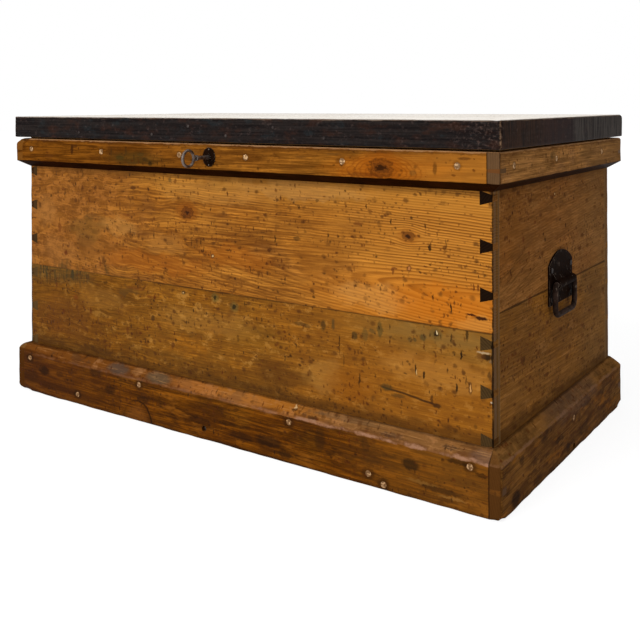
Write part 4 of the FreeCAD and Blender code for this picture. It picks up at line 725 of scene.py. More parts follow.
def side_detail(f, figure):
    """The side boards: olive brown with darker lines, an orange patch near the front and dark dots."""
    y, z = f.y, f.z
    outer = f.x.step(*WALL_OUTER_X)
    broad = cloud(f.place, (130, 70, 60), 22, 3, 0.6)
    f.paint(spot(y, z, (-196, 372), (44, 52), 0.7, (broad - 0.5) * 2) * outer * 0.3, (140, 84, 28))
    f.paint((y + (broad - 0.5) * 160).step(20, 200) * 0.3, (116, 88, 50))
    curd = cloud(f.place, (60, 18, 20), 25, 4, 0.7)
    f.shade(curd, (0.5, 0.64, 0.35), (96, 60, 24), (0.46, 0.34, 0.25), (172, 120, 66))
    slant = cloud(Place(y + z * 0.6, z - y * 0.28, f.x), (90, 4, 20), 24, 3, 0.6).step(0.5, 0.66)
    f.paint(slant * spot(y, z, (-170, 312), (75, 34), 0.5) * outer * 0.6, (66, 42, 14))
    seam = abs(z - SEAM_SIDE / MM) - cloud(f.place, (40, 40, 40), 9, 3) * 2.6
    f.paint(seam.step(-0.6, 0.7, 0.8, 0) * f.faces(0, 0.7, 0.9), (40, 26, 10))
    marks_on(f, y, z, SIDE_MARKS, outer)


def wall(name, along, seed, detail, tones, end_tones, heart, drift, contrast, amount, lively, gloss=0.04,
         knots=(), wavy=0, cell=(22, 18), stained=0.75):
    """A wall board: waxed and worn outside, raw inside, with dark end grain at the dovetails.

    wavy is how far the grain wanders at the left, in millimetres. cell is the size of the dark stains' cells
    and stained how strong they are."""
    f = Finish(name, seed, along)
    up = f.z
    if wavy:
        wander = cloud(Place(f.x, f.z, f.y), (95, 34, 60), seed + 50) - 0.5
        up = f.z + wander * f.x.step(80, -300, 0, wavy)
    f.place = Place(f.run, up, f.out)
    outside = (abs(f.out) - (WALL_Y, WALL_X)[f.long] / MM + 9).step(-1, 1)
    figure, thread = pine(f, tones, heart, 3.7, drift, knots, contrast, lively=lively)
    wide = growth(f.place, seed + 40, 8.5, (heart[0] * 0.9, heart[1] * 1.1), drift, 9, knots) ** 2
    f.paint(wide * (0.5 * lively), tones[1])
    f.blotch((90, 60, 60), 17, 0.55, 0.72, 0.35, tints_near(tones[0], 1.1))
    detail(f, figure)
    depth = grime(f, amount, cell, stained)
    # painted shade, with some dirt, in the angles above the plinth and under the band
    dusty = f.cloud((30, 16, 30), 18, 3, 0.6)
    f.paint((f.z - PLINTH_TOP / MM - dusty * 26).step(-6, 9, 0.6, 0) * outside, (60, 36, 12))
    f.paint((f.z - BAND_LOW / MM + dusty * 14).step(-6, 6, 0, 0.5) * outside, (70, 42, 14))
    # raw pine inside
    waxed = f.colour
    f.colour = f.mix(figure * 0.5, (156, 118, 70), (116, 78, 40))
    f.paint(thread.step(0.4, 0.75) * 0.4, (120, 84, 46))
    f.blotch((90, 60, 60), 19, 0.45, 0.7, 0.45, (112, 84, 52))
    f.colour = f.mix(outside, f.colour, waxed)
    # end grain
    end = f.faces(f.long, 0.55, 0.8)
    f.paint(end * f.x.step(-440, -400, 0.82, 1), f.mix(figure * 0.6 + dusty * 0.3, *end_tones))
    # black dirt at the corner arris, wider low down, and beside the joint
    ragged = (f.cloud((9, 14, 9), 22, 4, 0.65) - 0.5) * 6
    low_half = f.z.step(250, 225)
    arris_x = (abs(f.x) - WALL_X / MM + ragged + low_half * 1.2).step(-2.2, -0.9)
    arris_y = (abs(f.y) - WALL_Y / MM + ragged * 0.5).step(-1.6, -0.4)
    f.paint(arris_x * arris_y * 0.92, (20, 11, 6))
    joint = abs(abs(f.y) - (WALL_Y / MM - BOARD) + ragged * 0.25)
    side_face = f.faces(0, 0.7, 0.9) * outside.most(end)
    f.paint((joint - 1.6).step(0.6, 1.4, 0.45, 0) * side_face, (150, 116, 74))
    f.paint(joint.step(0.5, 1.3, 0.7, 0) * side_face, (30, 18, 8))
    rough = thread * 0.14 + outside.step(0, 1, 0.62, 0.42)
    return f.done(rough, thread * 0.22 + figure * 0.22 - depth, 0.45, specular=gloss)


# The band

def band_front_detail(f, broad, knots):
    """The band's front: darker to the left with painted shade, an olive smudge, and flame lines round the
    knot at the right.
    """
    x, z = f.x, f.z
    outer = (-f.y).step(*BAND_OUTER_Y)
    # painted shade darkening the left end
    f.paint((x + (broad - 0.5) * 260).step(100, -300) * 0.9, (212, 200, 176), "MULTIPLY")
    f.paint((x + (broad - 0.5) * 160).step(320, 420) * 0.5, (184, 116, 40))
    f.paint(spot(x, z, (-180, 455), (56, 11), 0.8, (broad - 0.5) * 2.6) * outer * 0.6, (62, 48, 18))
    f.paint(spot(x, z, (318, 456), (76, 18), 0.7, (broad - 0.5) * 2) * outer * 0.4, (194, 102, 14))
    flame = oval(x, z, (321, 452), (30, 12)) + (broad - 0.5) * 1.2
    lines = (flame * 3.2).part().step(0.45, 0.9) * flame.step(2.8, 1.6) * outer
    f.paint(lines * 0.55, (120, 60, 14))
    knot_marks(f, knots)
    marks_on(f, x, z, BAND_MARKS, outer)
    f.paint((x - JOINT_X / MM).step(-1, 1) * outer * 0.9, (96, 60, 33))


def band_finish(name, along, seed, tones, contrast, knots=(), front=False, gloss=0.04):
    """The band round the rim: a chamfer below made near-black by dark stain and painted shade, a pale top
    arris that is worn and carries a painted highlight, dark end grain at the corners.
    """
    f = Finish(name, seed, along)
    f.place = Place(f.run, f.z, f.out)
    figure, thread = pine(f, tones, (470, (-210, 210)[f.long]), 3.2, (0.01, 0.02), knots, contrast, 4)
    broad = f.cloud((60, 22, 30), 30, 4, 0.65)
    if front:
        band_front_detail(f, broad, knots)
    else:
        f.paint((f.y + (broad - 0.5) * 160).step(-60, 200) * 0.45, (112, 80, 44))
        marks_on(f, f.y, f.z, BAND_SIDE_MARKS, f.x.step(*BAND_OUTER_X))
    depth = grime(f, 0.6)
    pellet_rims(f, ("band_pellets",), (7.2, 7.2), 0.45, (78, 44, 14), f.faces(f.wide, 0.7, 0.9))
    ragged = (f.cloud((14, 6, 6), 31, 4, 0.65) - 0.5) * 6
    below_top = f.z - BAND_TOP / MM
    f.paint((below_top + ragged * 1.6).step(-5.5, -3.6) * 0.5, (70, 38, 14))
    # the pale top arris and top face: wear, with a painted highlight where the arris catches the light
    f.paint((below_top + ragged).step(-2.6, -1) * 0.7, (166, 124, 84))
    # the faces that look down, the chamfer below: dark stain with painted shade, chosen by the way they face
    under = (-f.facing[2]).step(0.25, 0.5)
    f.paint(under * 0.97, f.mix(broad.step(0.3, 0.7), (19, 6, 1), (40, 15, 3)))
    edge = (f.z - BAND_FACE_LOW / MM + ragged * 0.4).step(1.2, -0.4) * under.flip()
    f.paint(edge * 0.75, (46, 20, 6))
    right, left = ((106, 77, 50), (62, 43, 26)), ((126, 78, 26), (78, 44, 14))
    end = end_wood(f, figure * 0.25 + broad * 0.4, right, left)
    f.paint(f.faces(f.long) * under.flip(), end)
    corner(f, BAND_X, BAND_Y, 0.7)
    return f.done(thread * 0.14 + 0.42, thread * 0.22 + figure * 0.2 - depth, 0.45, specular=gloss)


# The plinth

PLINTH_HOLES = ("plinth_pellets", "plinth_screws")


def plinth_front_detail(f, broad, wide, rising):
    """The plinth's front: darker to the left, a crack like an arc, halos, a chamfer worn pale in places."""
    x, z = f.x, f.z
    outer = (-f.y).step(*PLINTH_OUTER_Y)
    face = outer * rising.flip()
    f.paint((x + (broad - 0.5) * 200).step(-100, -400) * 0.6, (74, 37, 10))
    f.paint((x + (broad - 0.5) * 200).step(200, 420) * 0.35, (138, 88, 30))
    arc = oval(x, z, (-172, -8), (36, 44)) + (broad - 0.5) * 0.22
    line = arc.step(0.9, 0.98) * arc.step(1, 1.05, 1, 0) * x.step(-192, -172, 0.2, 0.85)
    f.paint(arc.step(0.95, 0.6) * outer * 0.3, (140, 84, 34))
    f.paint(line * outer, (34, 18, 6))
    marks_on(f, x, z, PLINTH_MARKS, face, 4)
    pellet_rims(f, PLINTH_HOLES, (11.5, 9), 0.62, (38, 20, 6), face)
    chamfer = f.mix((x + (wide - 0.5) * 200).step(-120, 60), (112, 64, 20), (158, 96, 30))
    chamfer = f.mix((x + (wide - 0.5) * 160).step(130, 260), chamfer, (126, 86, 46))
    chamfer = f.mix(wide.step(0.52, 0.6) * 0.6, chamfer, (84, 56, 32))
    chamfer = f.mix(wide.step(0.46, 0.36) * 0.45, chamfer, (176, 122, 74))
    f.paint(rising * 0.8, chamfer)
    f.paint(rising * (z - CHAMFER_LOW / MM - (wide - 0.35) * 20).step(0, 5, 0.55, 0), (88, 48, 20))
    marks_on(f, x, z, CHAMFER_MARKS, rising, 4)


def plinth_side_detail(f, broad, wide, rising):
    """The plinth's sides: halos, a greyish chamfer with a purple stretch, and dark stains on the right."""
    pellet_rims(f, PLINTH_HOLES, (12, 10), 0.5, (38, 20, 8), rising.flip())
    f.paint(rising * 0.7, f.mix(wide.step(0.36, 0.62), (134, 92, 46), (84, 58, 28)))
    purple = spot(f.y, f.z, (40, 78), (110, 22), 0.5, (broad - 0.5) * 1.4)
    f.paint(purple * f.x.step(470, 480) * 0.4, (90, 68, 56))
    marks_on(f, f.y, f.z, PLINTH_SIDE_MARKS, f.x.step(*PLINTH_OUTER_X), 4)


def plinth_finish(name, along, seed, tones, front=False, gloss=0.04):
    """The plinth: dark reddish brown, blotched, with a worn chamfer above."""
    f = Finish(name, seed, along)
    f.place = Place(f.run, f.z, f.out)
    figure, thread = pine(f, tones, (-40, (-160, 160)[f.long]), 3.4, (0.01, 0.03), wave=6,
                          lively=1 if front else 0.5)
    f.blotch((60, 20, 30), 16, 0.46, 0.66, 0.55, (58, 30, 8))
    f.blotch((44, 16, 30), 17, 0.54, 0.68, 0.6, (36, 19, 7))
    f.blotch((70, 18, 40), 18, 0.54, 0.7, 0.55, (154, 92, 24))
    broad = f.cloud((50, 26, 30), 30, 3, 0.6)
    wide = f.cloud((36, 30, 30), 33, 4, 0.65)
    scratch = f.cloud((46, 2.6, 2.6), 34, 4, 0.66)
    rising = f.facing[2].step(0.25, 0.5)
    (plinth_front_detail if front else plinth_side_detail)(f, broad, wide, rising)
    f.paint(rising * scratch.step(0.52, 0.68) * (0.5 if front else 0.2), (70, 40, 16))
    f.paint(rising * scratch.step(0.45, 0.3) * (0.28 if front else 0.12), (196, 142, 84))
    depth = grime(f, 0.9)
    # the worn arris between the face and the chamfer with a painted highlight on it, painted shade with some
    # dirt in the angle above it, and a darker strip along the bottom
    ragged = (f.cloud((20, 7, 8), 31, 4, 0.65) - 0.5) * 9
    # the worn arris below the chamfer: pale wear with a painted highlight along it
    worn = abs(f.z - CHAMFER_LOW / MM - 1 + ragged).step(0.6, 3.2, 1, 0) * wide.step(0.4, 0.58)
    f.paint(worn * (f.x.step(40, 240, 0.12, 0.66) if front else 0.22), (172, 128, 100))
    # painted shade, with some dirt, in the angle where the plinth meets the wall
    f.paint((f.z - PLINTH_TOP / MM + 1 + ragged * 0.3).step(-1.4, 0.4) * 0.6, (44, 24, 8))
    # darker along the bottom edge
    f.paint((f.z + ragged * 0.6).step(7, 0) * 0.55, (40, 22, 8))
    right, left = ((94, 60, 24), (40, 22, 9)), ((86, 48, 14), (50, 26, 8))
    end = end_wood(f, figure * 0.3 + wide * 0.6, right, left)
    f.paint(f.faces(f.long) * rising.flip() * 0.9, end)
    f.paint((f.x - JOINT_X / MM).step(-1, 1) * f.faces(1) * 0.6, (84, 50, 20))
    f.paint((-f.facing[2]).step(0.5, 0.8) * 0.8, (84, 64, 42))
    corner(f, PLINTH_X, PLINTH_Y, 0.75)
    return f.done(thread * 0.14 + 0.44, thread * 0.2 + wide * 0.5 - depth * 0.8, 0.6, specular=gloss)


# The lid, the raw pine, the pellets and the irons

def lid_edges(f, rim):
    """Old black paint with streaks along it, worn through in places. Returns the streaks."""
    side_face = f.faces(1, 0.5, 0.8).flip()
    streak = f.cloud((120, 120, 2.4), 21, 4, 0.62)
    ladder = f.cloud((4, 5, 60), 22, 3, 0.6)
    cloudy = f.cloud((46, 46, 20), 23, 4, 0.65)
    mist = f.cloud((5, 5, 4), 26, 4, 0.7)
    f.colour = f.mix(streak.step(0.34, 0.66), (22, 18, 18), (40, 34, 32))
    f.shade(cloudy, (0.5, 0.66, 0.5), (60, 36, 26), (0.45, 0.34, 0.5), (36, 42, 44))
    f.shade(mist, (0.5, 0.66, 0.4), (20, 14, 13), (0.44, 0.3, 0.16), (86, 72, 68))
    f.paint(side_face * f.y.step(60, -160) * 0.6, f.mix(ladder.step(0.4, 0.62), (62, 39, 24), (28, 17, 11)))
    f.paint(side_face * (abs(f.y + 50)).step(120, 40) * 0.45, (50, 36, 36))
    f.paint(side_face * (f.y - 10 + (cloudy - 0.5) * 60).step(-16, 16) * 0.75,
            f.mix(ladder.step(0.42, 0.6), (74, 68, 63), (44, 39, 37)))
    f.paint(f.cloud((9, 9, 6), 24, 4, 0.7).step(0.58, 0.68) * 0.16, (110, 90, 84))
    worn_corner = (f.x + (cloudy - 0.5) * 90).step(420, 480) * (-f.y).step(268, 276)
    f.paint(worn_corner * (mist.step(0.49, 0.34) * 0.26), (124, 96, 84))
    f.paint(worn_corner * mist.step(0.5, 0.62) * 0.5, (34, 20, 15))
    arris = (abs(f.x) - LID_X / MM).step(-3.4, -1.2) * (abs(f.y) - LID_Y / MM).step(-3.4, -1.2)
    f.paint(arris * (mist.step(0.6, 0.4) * 0.6), (142, 112, 84))
    f.paint((f.z - LID_HIGH.z / MM + (rim - 0.5) * 7).step(-2.4, -0.6) * 0.6, (112, 92, 76))
    f.paint(abs(f.y).step(0.4, 1.6, 0.8, 0) * side_face, (18, 12, 10))
    return streak


def lid_finish(name, seed):
    """A lid plank: black worn edges, a near-white top whose pale tones are a painted reflection of the white
    backdrop at a grazing angle, and dusty pine below.
    """
    f = Finish(name, seed)
    f.place = Place(f.x, f.y, f.z)
    # the top's near-white tones: a painted reflection of the white backdrop at a grazing angle
    tones = ((251, 248, 243), (212, 203, 190), (246, 241, 234), (238, 231, 222))
    figure, thread = pine(f, tones, (0, -150), 3.8, (0.02, 0.02), contrast=0.4, wave=8, lively=0.5)
    f.blotch((120, 70, 60), 18, 0.5, 0.7, 0.4, (222, 213, 200))
    f.blotch((60, 40, 60), 19, 0.6, 0.72, 0.4, (188, 175, 158))
    depth = grime(f, 0.45, stained=0.2)
    near_x = (abs(f.x) - LID_X / MM).step(-16, 0)
    near_y = (abs(f.y) - LID_Y / MM).step(-14, 0)
    rim = f.cloud((40, 24, 40), 20, 4, 0.65)
    f.paint((near_x.most(near_y) * 0.8 + rim - 0.5).step(0.35, 0.75) * 0.75, (84, 70, 60))
    seam = abs(f.y + (rim - 0.5) * 0.8).step(0.5, 1.4, 0.8, 0)
    f.paint(seam, (40, 30, 24))
    # the top's colour: pale tones that are a painted reflection, with the grain, blotches, wear and seam on
    # them
    top = f.colour
    # below: dusty pine
    f.colour = f.mix(figure * 0.5, (150, 116, 72), (112, 78, 42))
    f.paint(thread.step(0.4, 0.75) * 0.4, (116, 84, 50))
    f.paint(seam, (50, 34, 20))
    below = f.colour
    streak = lid_edges(f, rim)
    f.colour = f.mix(f.facing[2].step(0.55, 0.85), f.colour, top)
    f.colour = f.mix((-f.facing[2]).step(0.86, 0.98), f.colour, below)
    return f.done(thread * 0.14 + 0.5, thread * 0.3 + streak * 0.3 - depth, 0.5, specular=0.02)


def raw_pine(name, along, seed):
    """The dusty unwaxed pine of the bottom, the battens and the runners."""
    f = Finish(name, seed, along)
    f.place = Place(f.run, f.out, f.z)
    tones = ((158, 122, 74), (118, 80, 42), (146, 110, 66), (138, 108, 72))
    figure, thread = pine(f, tones, (90, -120), 3.6, (0.02, 0))
    f.paint(f.faces(f.long, 0.55, 0.8) * 0.6, (96, 70, 40))
    f.blotch((60, 40, 40), 20, 0.52, 0.75, 0.4, (96, 74, 48))
    return f.done(thread * 0.1 + 0.66, thread * 0.4 + figure * 0.3, 0.3, specular=0.04)


def pellet_wood(name, seed):
    """Pale plugs of pine: fine cracks, darker on the plinth, broken and dark at the rim."""
    f = Finish(name, seed)
    f.place = Place(f.x, f.y, f.z)
    crumb = f.cloud((1.6, 1.6, 1.6), 0, 4, 0.65)
    flake = f.cloud((3.4, 3.4, 3.4), 4, 3, 0.6)
    f.colour = f.mix(crumb.step(0.44, 0.7), (242, 200, 150), (216, 166, 112))
    f.paint(f.cloud((30, 30, 30), 2, 1).step(0.5, 0.62) * 0.2, (190, 148, 98))
    f.paint(f.z.step(300, 100) * 0.35, (150, 104, 64))
    reach = f.attribute("rim") + (flake - 0.5) * 0.8
    f.paint(reach.step(0.76, 0.98, 0, 0.85), (84, 50, 20))
    return f.done(crumb * 0.1 + 0.6, crumb + flake, 0.12, specular=0.01)


def iron(name, seed, tones, rough, metal, gloss):
    """Old wrought iron or steel: pitted, with brown rust in the hollows and the fourth tone on worn edges and
    in specks as painted glints.
    """
    f = Finish(name, seed)
    f.place = Place(f.x, f.y, f.z)
    pits = f.cloud((1.6, 1.6, 1.6), 0, 4, 0.6)
    broad = f.cloud((11, 11, 11), 1, 3, 0.6)
    f.colour = f.mix(broad.step(0.36, 0.64), tones[0], tones[1])
    f.paint(pits.step(0.55, 0.72) * broad.step(0.4, 0.62) * 0.8, tones[2])
    # worn edges in the pale fourth tone, partly wear and partly painted glints
    f.paint(f.attribute("edge") * f.cloud((9, 9, 9), 2, 3, 0.6).step(0.4, 0.6) * 0.8, tones[3])
    # specks of the pale fourth tone: painted glints
    f.paint(f.cloud((6, 6, 13), 3, 3, 0.6).step(0.6, 0.7) * 0.3, tones[3])
    return f.done(pits.step(0.4, 0.7) * 0.16 + rough, pits + broad * 1.5, 0.25, metal, gloss)


# Meshes

WELD = 2e-6
SMOOTH_ANGLE = math.radians(38)
FLAT_ANGLE = math.radians(1)
ARRIS_STEPS = tuple(d * MM for d in (0.5, 1.3, 2.6, 4.5, 7, 10, 13.5, 17.5))
PELLET_RADIUS = 4.75 * MM
BAND_ROUND, PLINTH_ROUND, LID_ROUND = 1.7 * MM, 2.4 * MM, 2.4 * MM


def clean_copy(node):
    """A node's faces as a bmesh, with the flat ones joined."""
    bm = bmesh.new()
    bm.from_mesh(frame["nodes"][node].data)
    bmesh.ops.remove_doubles(bm, verts=bm.verts, dist=WELD)
    bmesh.ops.dissolve_limit(bm, angle_limit=FLAT_ANGLE, verts=bm.verts, edges=bm.edges)
    return bm


def ease_edges(bm, width, least=math.radians(24)):
    """A small round on each outward edge. Returns its faces."""
    bm.normal_update()
    sharp = [e for e in bm.edges if len(e.link_faces) == 2 and e.is_convex and e.calc_face_angle(0.0) > least]
    made = bmesh.ops.bevel(bm, geom=sharp, offset=width, segments=2, profile=0.5, affect="EDGES",
                           clamp_overlap=True)
    return made["faces"]


def slice_at(bm, axis, places):
    """Cuts the faces along planes square to an axis."""
    normal = Vector((0, 0, 0))
    normal[axis] = 1
    low = min(v.co[axis] for v in bm.verts)
    high = max(v.co[axis] for v in bm.verts)
    for place in places:
        if low < place < high:
            bmesh.ops.bisect_plane(bm, geom=bm.verts[:] + bm.edges[:] + bm.faces[:], dist=1e-6,
                                   plane_co=normal * place, plane_no=normal)


def every(low, high, pitch):
    """Places from low to high, about a pitch apart."""
    count = max(1, round((high - low) / pitch))
    return [low + (high - low) * i / count for i in range(1, count)]


def soften(point, half, radius, pairs, seed, middle=0.0):
    """Draws a point near the edges of a box in to a round edge whose radius wanders along it.

    The box stands round the vertical axis, its middle at that height."""
    centre = (0, 0, middle)
    for a, b in pairs:
        c = 3 - a - b
        along = Vector((point[c] * 38, seed + 3.1 * a + (1 if point[a] > centre[a] else -1),
                        seed + 5.3 * b + (1 if point[b] > centre[b] else -1)))
        reach = radius * (0.75 + 0.75 * (0.5 + noise.noise(along)) + 0.15 * noise.noise(along * 5))
        over_a = abs(point[a] - centre[a]) - (half[a] - reach)
        over_b = abs(point[b] - centre[b]) - (half[b] - reach)
        if over_a > 0 and over_b > 0:
            far = math.hypot(over_a, over_b)
            if far > reach:
                for axis, over in ((a, over_a), (b, over_b)):
                    side = 1 if point[axis] > centre[axis] else -1
                    point[axis] -= side * (over - over * reach / far)


def worn_radius(point, radius, corners, reach=2.6):
    """The radius of the edges at a point: larger near the worn corners."""
    nearest = (size * max(0, 1 - (point - place).length / (reach * size)) ** 0.5 for place, size in corners)
    return radius + max(nearest, default=0)


def fill_chamfer(point, start=150 * MM, run=330 * MM, least=0.4, more=3.2):
    """Rounds the plinth's chamfer outward, most at the left, where wear has softened it."""
    rise = (point.z - CHAMFER_LOW) / (PLINTH_TOP - CHAMFER_LOW)
    if 0 < rise < 1:
        worn = min(1, max(0, (-point.x - start) / run))
        swell = (least + more * worn) * MM * 4 * rise * (1 - rise)
        on_chamfer = [axis for axis, half in ((0, PLINTH_X), (1, PLINTH_Y))
                      if abs(abs(point[axis]) - half + rise * CHAMFER_RUN) < 0.5 * MM]
        for axis in on_chamfer:
            point[axis] += math.copysign(swell, point[axis])
        point.z += swell if on_chamfer else 0


def fray(point, level, half, near=1.2 * MM, deepest=1.5):
    """Wears small hollows into the arris at a level of the outer faces."""
    if abs(point.z - level) < near:
        hollow = max(0, noise.noise(point * 55) + 0.6 * noise.noise(point * 160)) * deepest * MM
        for axis in (0, 1):
            if abs(point[axis]) > half[axis] - 1 * MM:
                point[axis] -= math.copysign(hollow, point[axis])


def finish_piece(bm, way, node, material, slot, body):
    """Makes the object, smooth but for its real edges, and lets it stand for its node."""
    mesh = bpy.data.meshes.new(way + node)
    bm.to_mesh(mesh)
    bm.free()
    piece = bpy.data.objects.new(way + node, mesh)
    bpy.context.scene.collection.objects.link(piece)
    mesh.materials.append(material)
    mesh.shade_smooth()
    mesh.set_sharp_from_angle(angle=SMOOTH_ANGLE)
    even = piece.modifiers.new("even", "WEIGHTED_NORMAL")
    even.keep_sharp = True
    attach(piece, body)
    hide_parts(node)


def wall_piece(node, material, pitch=7 * MM, radius=1.9 * MM):
    """A wall board with its corner arrises worn round."""
    bm = clean_copy(node)
    ease_edges(bm, 0.45 * MM)
    low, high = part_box(node)
    for axis, half in ((0, WALL_X), (1, WALL_Y)):
        slice_at(bm, axis, [s * (half - d) for s in (-1, 1) for d in ARRIS_STEPS[:4]])
    slice_at(bm, 2, every(low.z, high.z, pitch))
    for v in bm.verts:
        soften(v.co, (WALL_X, WALL_Y, 1), radius, ((0, 1),), 2)
    finish_piece(bm, "worn_", node, material, "waxed_pine", "case")


def frame_piece(node, material, x, y, low_z, high_z, radius, corners, slot="waxed_pine", body="case",
                arris=None, filled=False, long_pitch=8 * MM, high_pitch=6 * MM):
    """A piece of the band, the plinth or the lid with its outer edges and corners worn round."""
    bm = clean_copy(node)
    ease_edges(bm, 0.5 * MM)
    low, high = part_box(node)
    long_axis = 0 if high.x - low.x > high.y - low.y else 1
    for axis, reach in ((0, x), (1, y)):
        slice_at(bm, axis, [s * (reach - d) for s in (-1, 1) for d in ARRIS_STEPS])
    slice_at(bm, 2, [low_z + d for d in ARRIS_STEPS] + [high_z - d for d in ARRIS_STEPS])
    slice_at(bm, long_axis, every(low[long_axis], high[long_axis], long_pitch))
    slice_at(bm, 2, every(low.z, high.z, high_pitch))
    half = (x, y, (high_z - low_z) / 2)
    middle = (low_z + high_z) / 2
    for v in bm.verts:
        if filled:
            fill_chamfer(v.co)
        if arris is not None:
            fray(v.co, arris, half)
        soften(v.co, half, worn_radius(v.co, radius, corners), ((1, 2), (0, 2)), 5, middle)
        soften(v.co, half, 1.6 * radius, ((0, 1),), 5, middle)
    finish_piece(bm, "worn_", node, material, slot, body)


def pellet_piece(node, material):
    """The pellets of one group, a little domed, each with its rim marked."""
    bm = clean_copy(node)
    ease_edges(bm, 0.35 * MM)
    centres = pellet_centres(node)
    layer = bm.verts.layers.float.new("rim")
    for v in bm.verts:
        gap = min((v.co - c * MM for c in centres), key=lambda d: d.length_squared)
        sideways = gap.y if abs(v.co.x) > BAND_X - NEAR_FACE * MM else gap.x
        v[layer] = min(1.0, math.hypot(sideways, gap.z) / PELLET_RADIUS)
    finish_piece(bm, "domed_", node, material, "pellet_wood", "case")


def forged_piece(node, material, slot, body, width):
    """An iron piece with its edges eased and marked."""
    bm = clean_copy(node)
    layer = bm.faces.layers.float.new("edge")
    for face in ease_edges(bm, width, least=math.radians(40)):
        face[layer] = 1.0
    finish_piece(bm, "forged_", node, material, slot, body)


def worn_corners(x, y, *corners):
    """The worn corners of a box, each (side of x, side of y, height, how much rounder in millimetres)."""
    return [(Vector((x * side_x, y * side_y, z)), size * MM) for side_x, side_y, z, size in corners]


BAND_CORNERS = worn_corners(BAND_X, BAND_Y, (-1, -1, BAND_TOP, 15), (-1, 1, BAND_TOP, 9), (1, 1, BAND_TOP, 3))
PLINTH_CORNERS = worn_corners(PLINTH_X, PLINTH_Y, (-1, -1, 0, 13), (1, -1, 0, 6), (1, 1, 0, 9),
                              (-1, -1, CHAMFER_LOW, 10))
LID_CORNERS = worn_corners(LID_X, LID_Y, (1, 1, LID_HIGH.z, 4), (-1, -1, LID_LOW.z, 2))

# The walls: tones are early wood, late wood and two patches, and then two of the end grain

FRONT_UPPER = wall(
    "front_upper", "x", 1, upper_front, ((184, 120, 42), (96, 52, 14), (166, 102, 30), (154, 98, 38)),
    ((114, 74, 26), (78, 48, 14)), (311, -215), (-0.06, -0.07), 0.66, 1, 0.9, knots=UPPER_KNOTS, wavy=34)
FRONT_LOWER = wall(
    "front_lower", "x", 31, lower_front, ((156, 100, 26), (80, 46, 10), (134, 86, 24), (158, 98, 22)),
    ((106, 70, 26), (66, 42, 13)), (60, -190), (0.03, 0.05), 0.28, 1.15, 0.62, wavy=26)
SIDE_UPPER = wall(
    "side_upper", "y", 57, side_detail, ((156, 104, 52), (90, 56, 22), (140, 90, 42), (150, 94, 42)),
    ((32, 20, 12), (14, 8, 5)), (560, 330), (0.1, 0), 0.45, 1.5, 0.42, 0.003, cell=(44, 20), stained=0.8)
SIDE_LOWER = wall(
    "side_lower", "y", 71, side_detail, ((144, 96, 42), (80, 50, 18), (128, 84, 36), (148, 96, 36)),
    ((78, 58, 32), (44, 30, 15)), (40, 330), (-0.05, 0), 0.45, 1.7, 0.42, 0.003, cell=(44, 20), stained=0.8)
for level, wood in (("upper", FRONT_UPPER), ("lower", FRONT_LOWER)):
    for side in ("front", "back"):
        wall_piece("%s_board_%s" % (side, level), wood)
for side in ("right", "left"):
    wall_piece(side + "_board_upper", SIDE_UPPER)
    wall_piece(side + "_board_lower", SIDE_LOWER)

# The band, the plinth and the lid

BAND_TONES = ((156, 99, 31), (82, 45, 12), (138, 84, 25), (126, 78, 28))
BAND_SIDE_TONES = ((168, 118, 64), (92, 60, 26), (148, 100, 52), (140, 98, 60))
BAND_FRONT = band_finish("band_front_wood", "x", 83, BAND_TONES, 0.7, ((319, 457, 12),), True, 0.003)
BAND_LONG = band_finish("band_long_wood", "x", 89, BAND_TONES, 0.5)
BAND_SIDE = band_finish("band_side_wood", "y", 95, BAND_SIDE_TONES, 0.5, gloss=0.003)
PLINTH_TONES = ((124, 70, 8), (52, 26, 4), (102, 54, 6), (124, 75, 14))
PLINTH_SIDE_TONES = ((126, 82, 36), (58, 35, 13), (108, 69, 28), (132, 88, 38))
PLINTH_FRONT = plinth_finish("plinth_front_wood", "x", 101, PLINTH_TONES, True, 0.02)
PLINTH_LONG = plinth_finish("plinth_long_wood", "x", 107, PLINTH_TONES)
PLINTH_SIDE = plinth_finish("plinth_side_wood", "y", 113, PLINTH_SIDE_TONES, gloss=0.003)
for side, band_wood, plinth_wood in (("front", BAND_FRONT, PLINTH_FRONT), ("back", BAND_LONG, PLINTH_LONG),
                                     ("left", BAND_SIDE, PLINTH_SIDE), ("right", BAND_SIDE, PLINTH_SIDE)):
    frame_piece("band_" + side, band_wood, BAND_X, BAND_Y, BAND_LOW, BAND_TOP, BAND_ROUND, BAND_CORNERS,
                arris=BAND_FACE_LOW)
    frame_piece("plinth_" + side, plinth_wood, PLINTH_X, PLINTH_Y, 0, PLINTH_TOP, PLINTH_ROUND,
                PLINTH_CORNERS, arris=CHAMFER_LOW, filled=True)
LID_WOOD = lid_finish("lid_wood", 131)
for side in ("front", "back"):
    frame_piece("lid_plank_" + side, LID_WOOD, LID_X, LID_Y, LID_LOW.z, LID_HIGH.z, LID_ROUND, LID_CORNERS,
                "lid_pine", "lid")
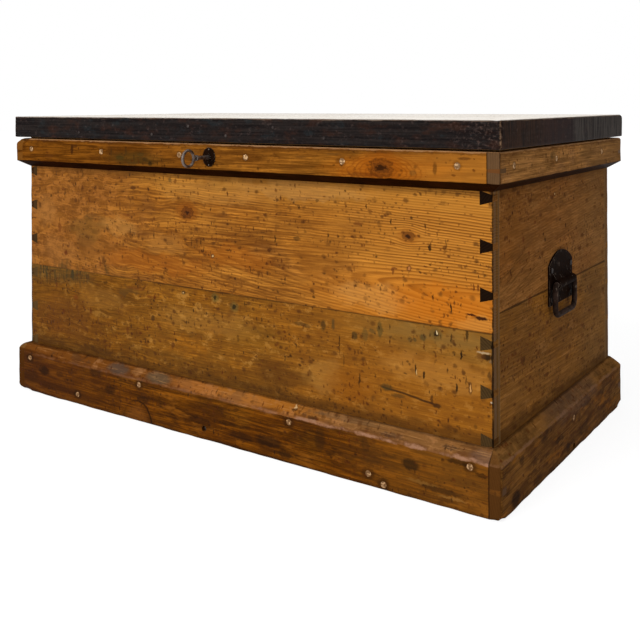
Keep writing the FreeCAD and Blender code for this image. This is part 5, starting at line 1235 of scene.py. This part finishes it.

# The pellets and the irons: tones are two of the iron, rust, and a pale tone for worn edges and painted
# glints, then roughness, metal and gloss

PELLETS = pellet_wood("pellet_wood", 201)
for node in ("band_pellets", "plinth_pellets"):
    pellet_piece(node, PELLETS)
IRONS = {name: iron(name, seed, tones, rough, metal, gloss) for name, seed, tones, rough, metal, gloss in (
    ("black_iron", 161, ((28, 15, 8), (18, 10, 6), (56, 28, 12), (150, 134, 120)), 0.5, 0, 0.004),
    # the bail: the same black iron made lighter, a painted sheen standing for the round rod's highlights
    ("bail_iron_painted_sheen", 163, ((62, 47, 40), (38, 28, 23), (64, 36, 20), (150, 134, 120)), 0.5, 0, 0.01),
    ("hinge_iron", 167, ((62, 48, 38), (44, 36, 30), (104, 58, 30), (130, 118, 108)), 0.55, 0.7, 0.4),
    ("worn_iron", 173, ((120, 108, 100), (74, 62, 56), (112, 70, 44), (176, 166, 158)), 0.42, 0.8, 0.4),
    ("lock_iron", 179, ((84, 76, 68), (56, 48, 42), (110, 66, 38), (150, 142, 134)), 0.5, 0.75, 0.4),
    ("old_steel", 181, ((150, 142, 134), (104, 94, 86), (92, 64, 44), (180, 172, 164)), 0.36, 0.9, 0.4),
    ("tack_iron", 185, ((76, 68, 64), (46, 40, 38), (62, 44, 36), (110, 100, 94)), 0.6, 0.3, 0.1),
)}
for side in ("right", "left"):
    forged_piece("handle_%s_plate" % side, IRONS["black_iron"], "black_iron", "case", 0.7 * MM)
    forged_piece("handle_%s_bail" % side, IRONS["bail_iron_painted_sheen"], "black_iron", "bail_" + side, 0.5 * MM)
forged_piece("escutcheon", IRONS["black_iron"], "worn_iron", "case", 0.4 * MM)
forged_piece("key", IRONS["worn_iron"], "worn_iron", "key", 0.3 * MM)

# Plain pine and iron keep their own shapes and take their finishes

RAW_X = raw_pine("raw_pine_long", "x", 151)
RAW_Y = raw_pine("raw_pine_cross", "y", 157)
for part in frame["record"]["subparts"]:
    piece = frame["nodes"][part["node"]]
    if not piece.hide_render:
        raw = RAW_X if part["node"].startswith("runner") else RAW_Y
        piece.data.materials.clear()
        piece.data.materials.append(IRONS.get(part["material_slot"], raw))
for node in ("lid_edge_tacks", "handle_screws"):
    frame["nodes"][node].data.materials[0] = IRONS["tack_iron"]

model_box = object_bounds()
{"cad": [list(corner) for corner in cad_box], "visual": [list(corner) for corner in model_box]}
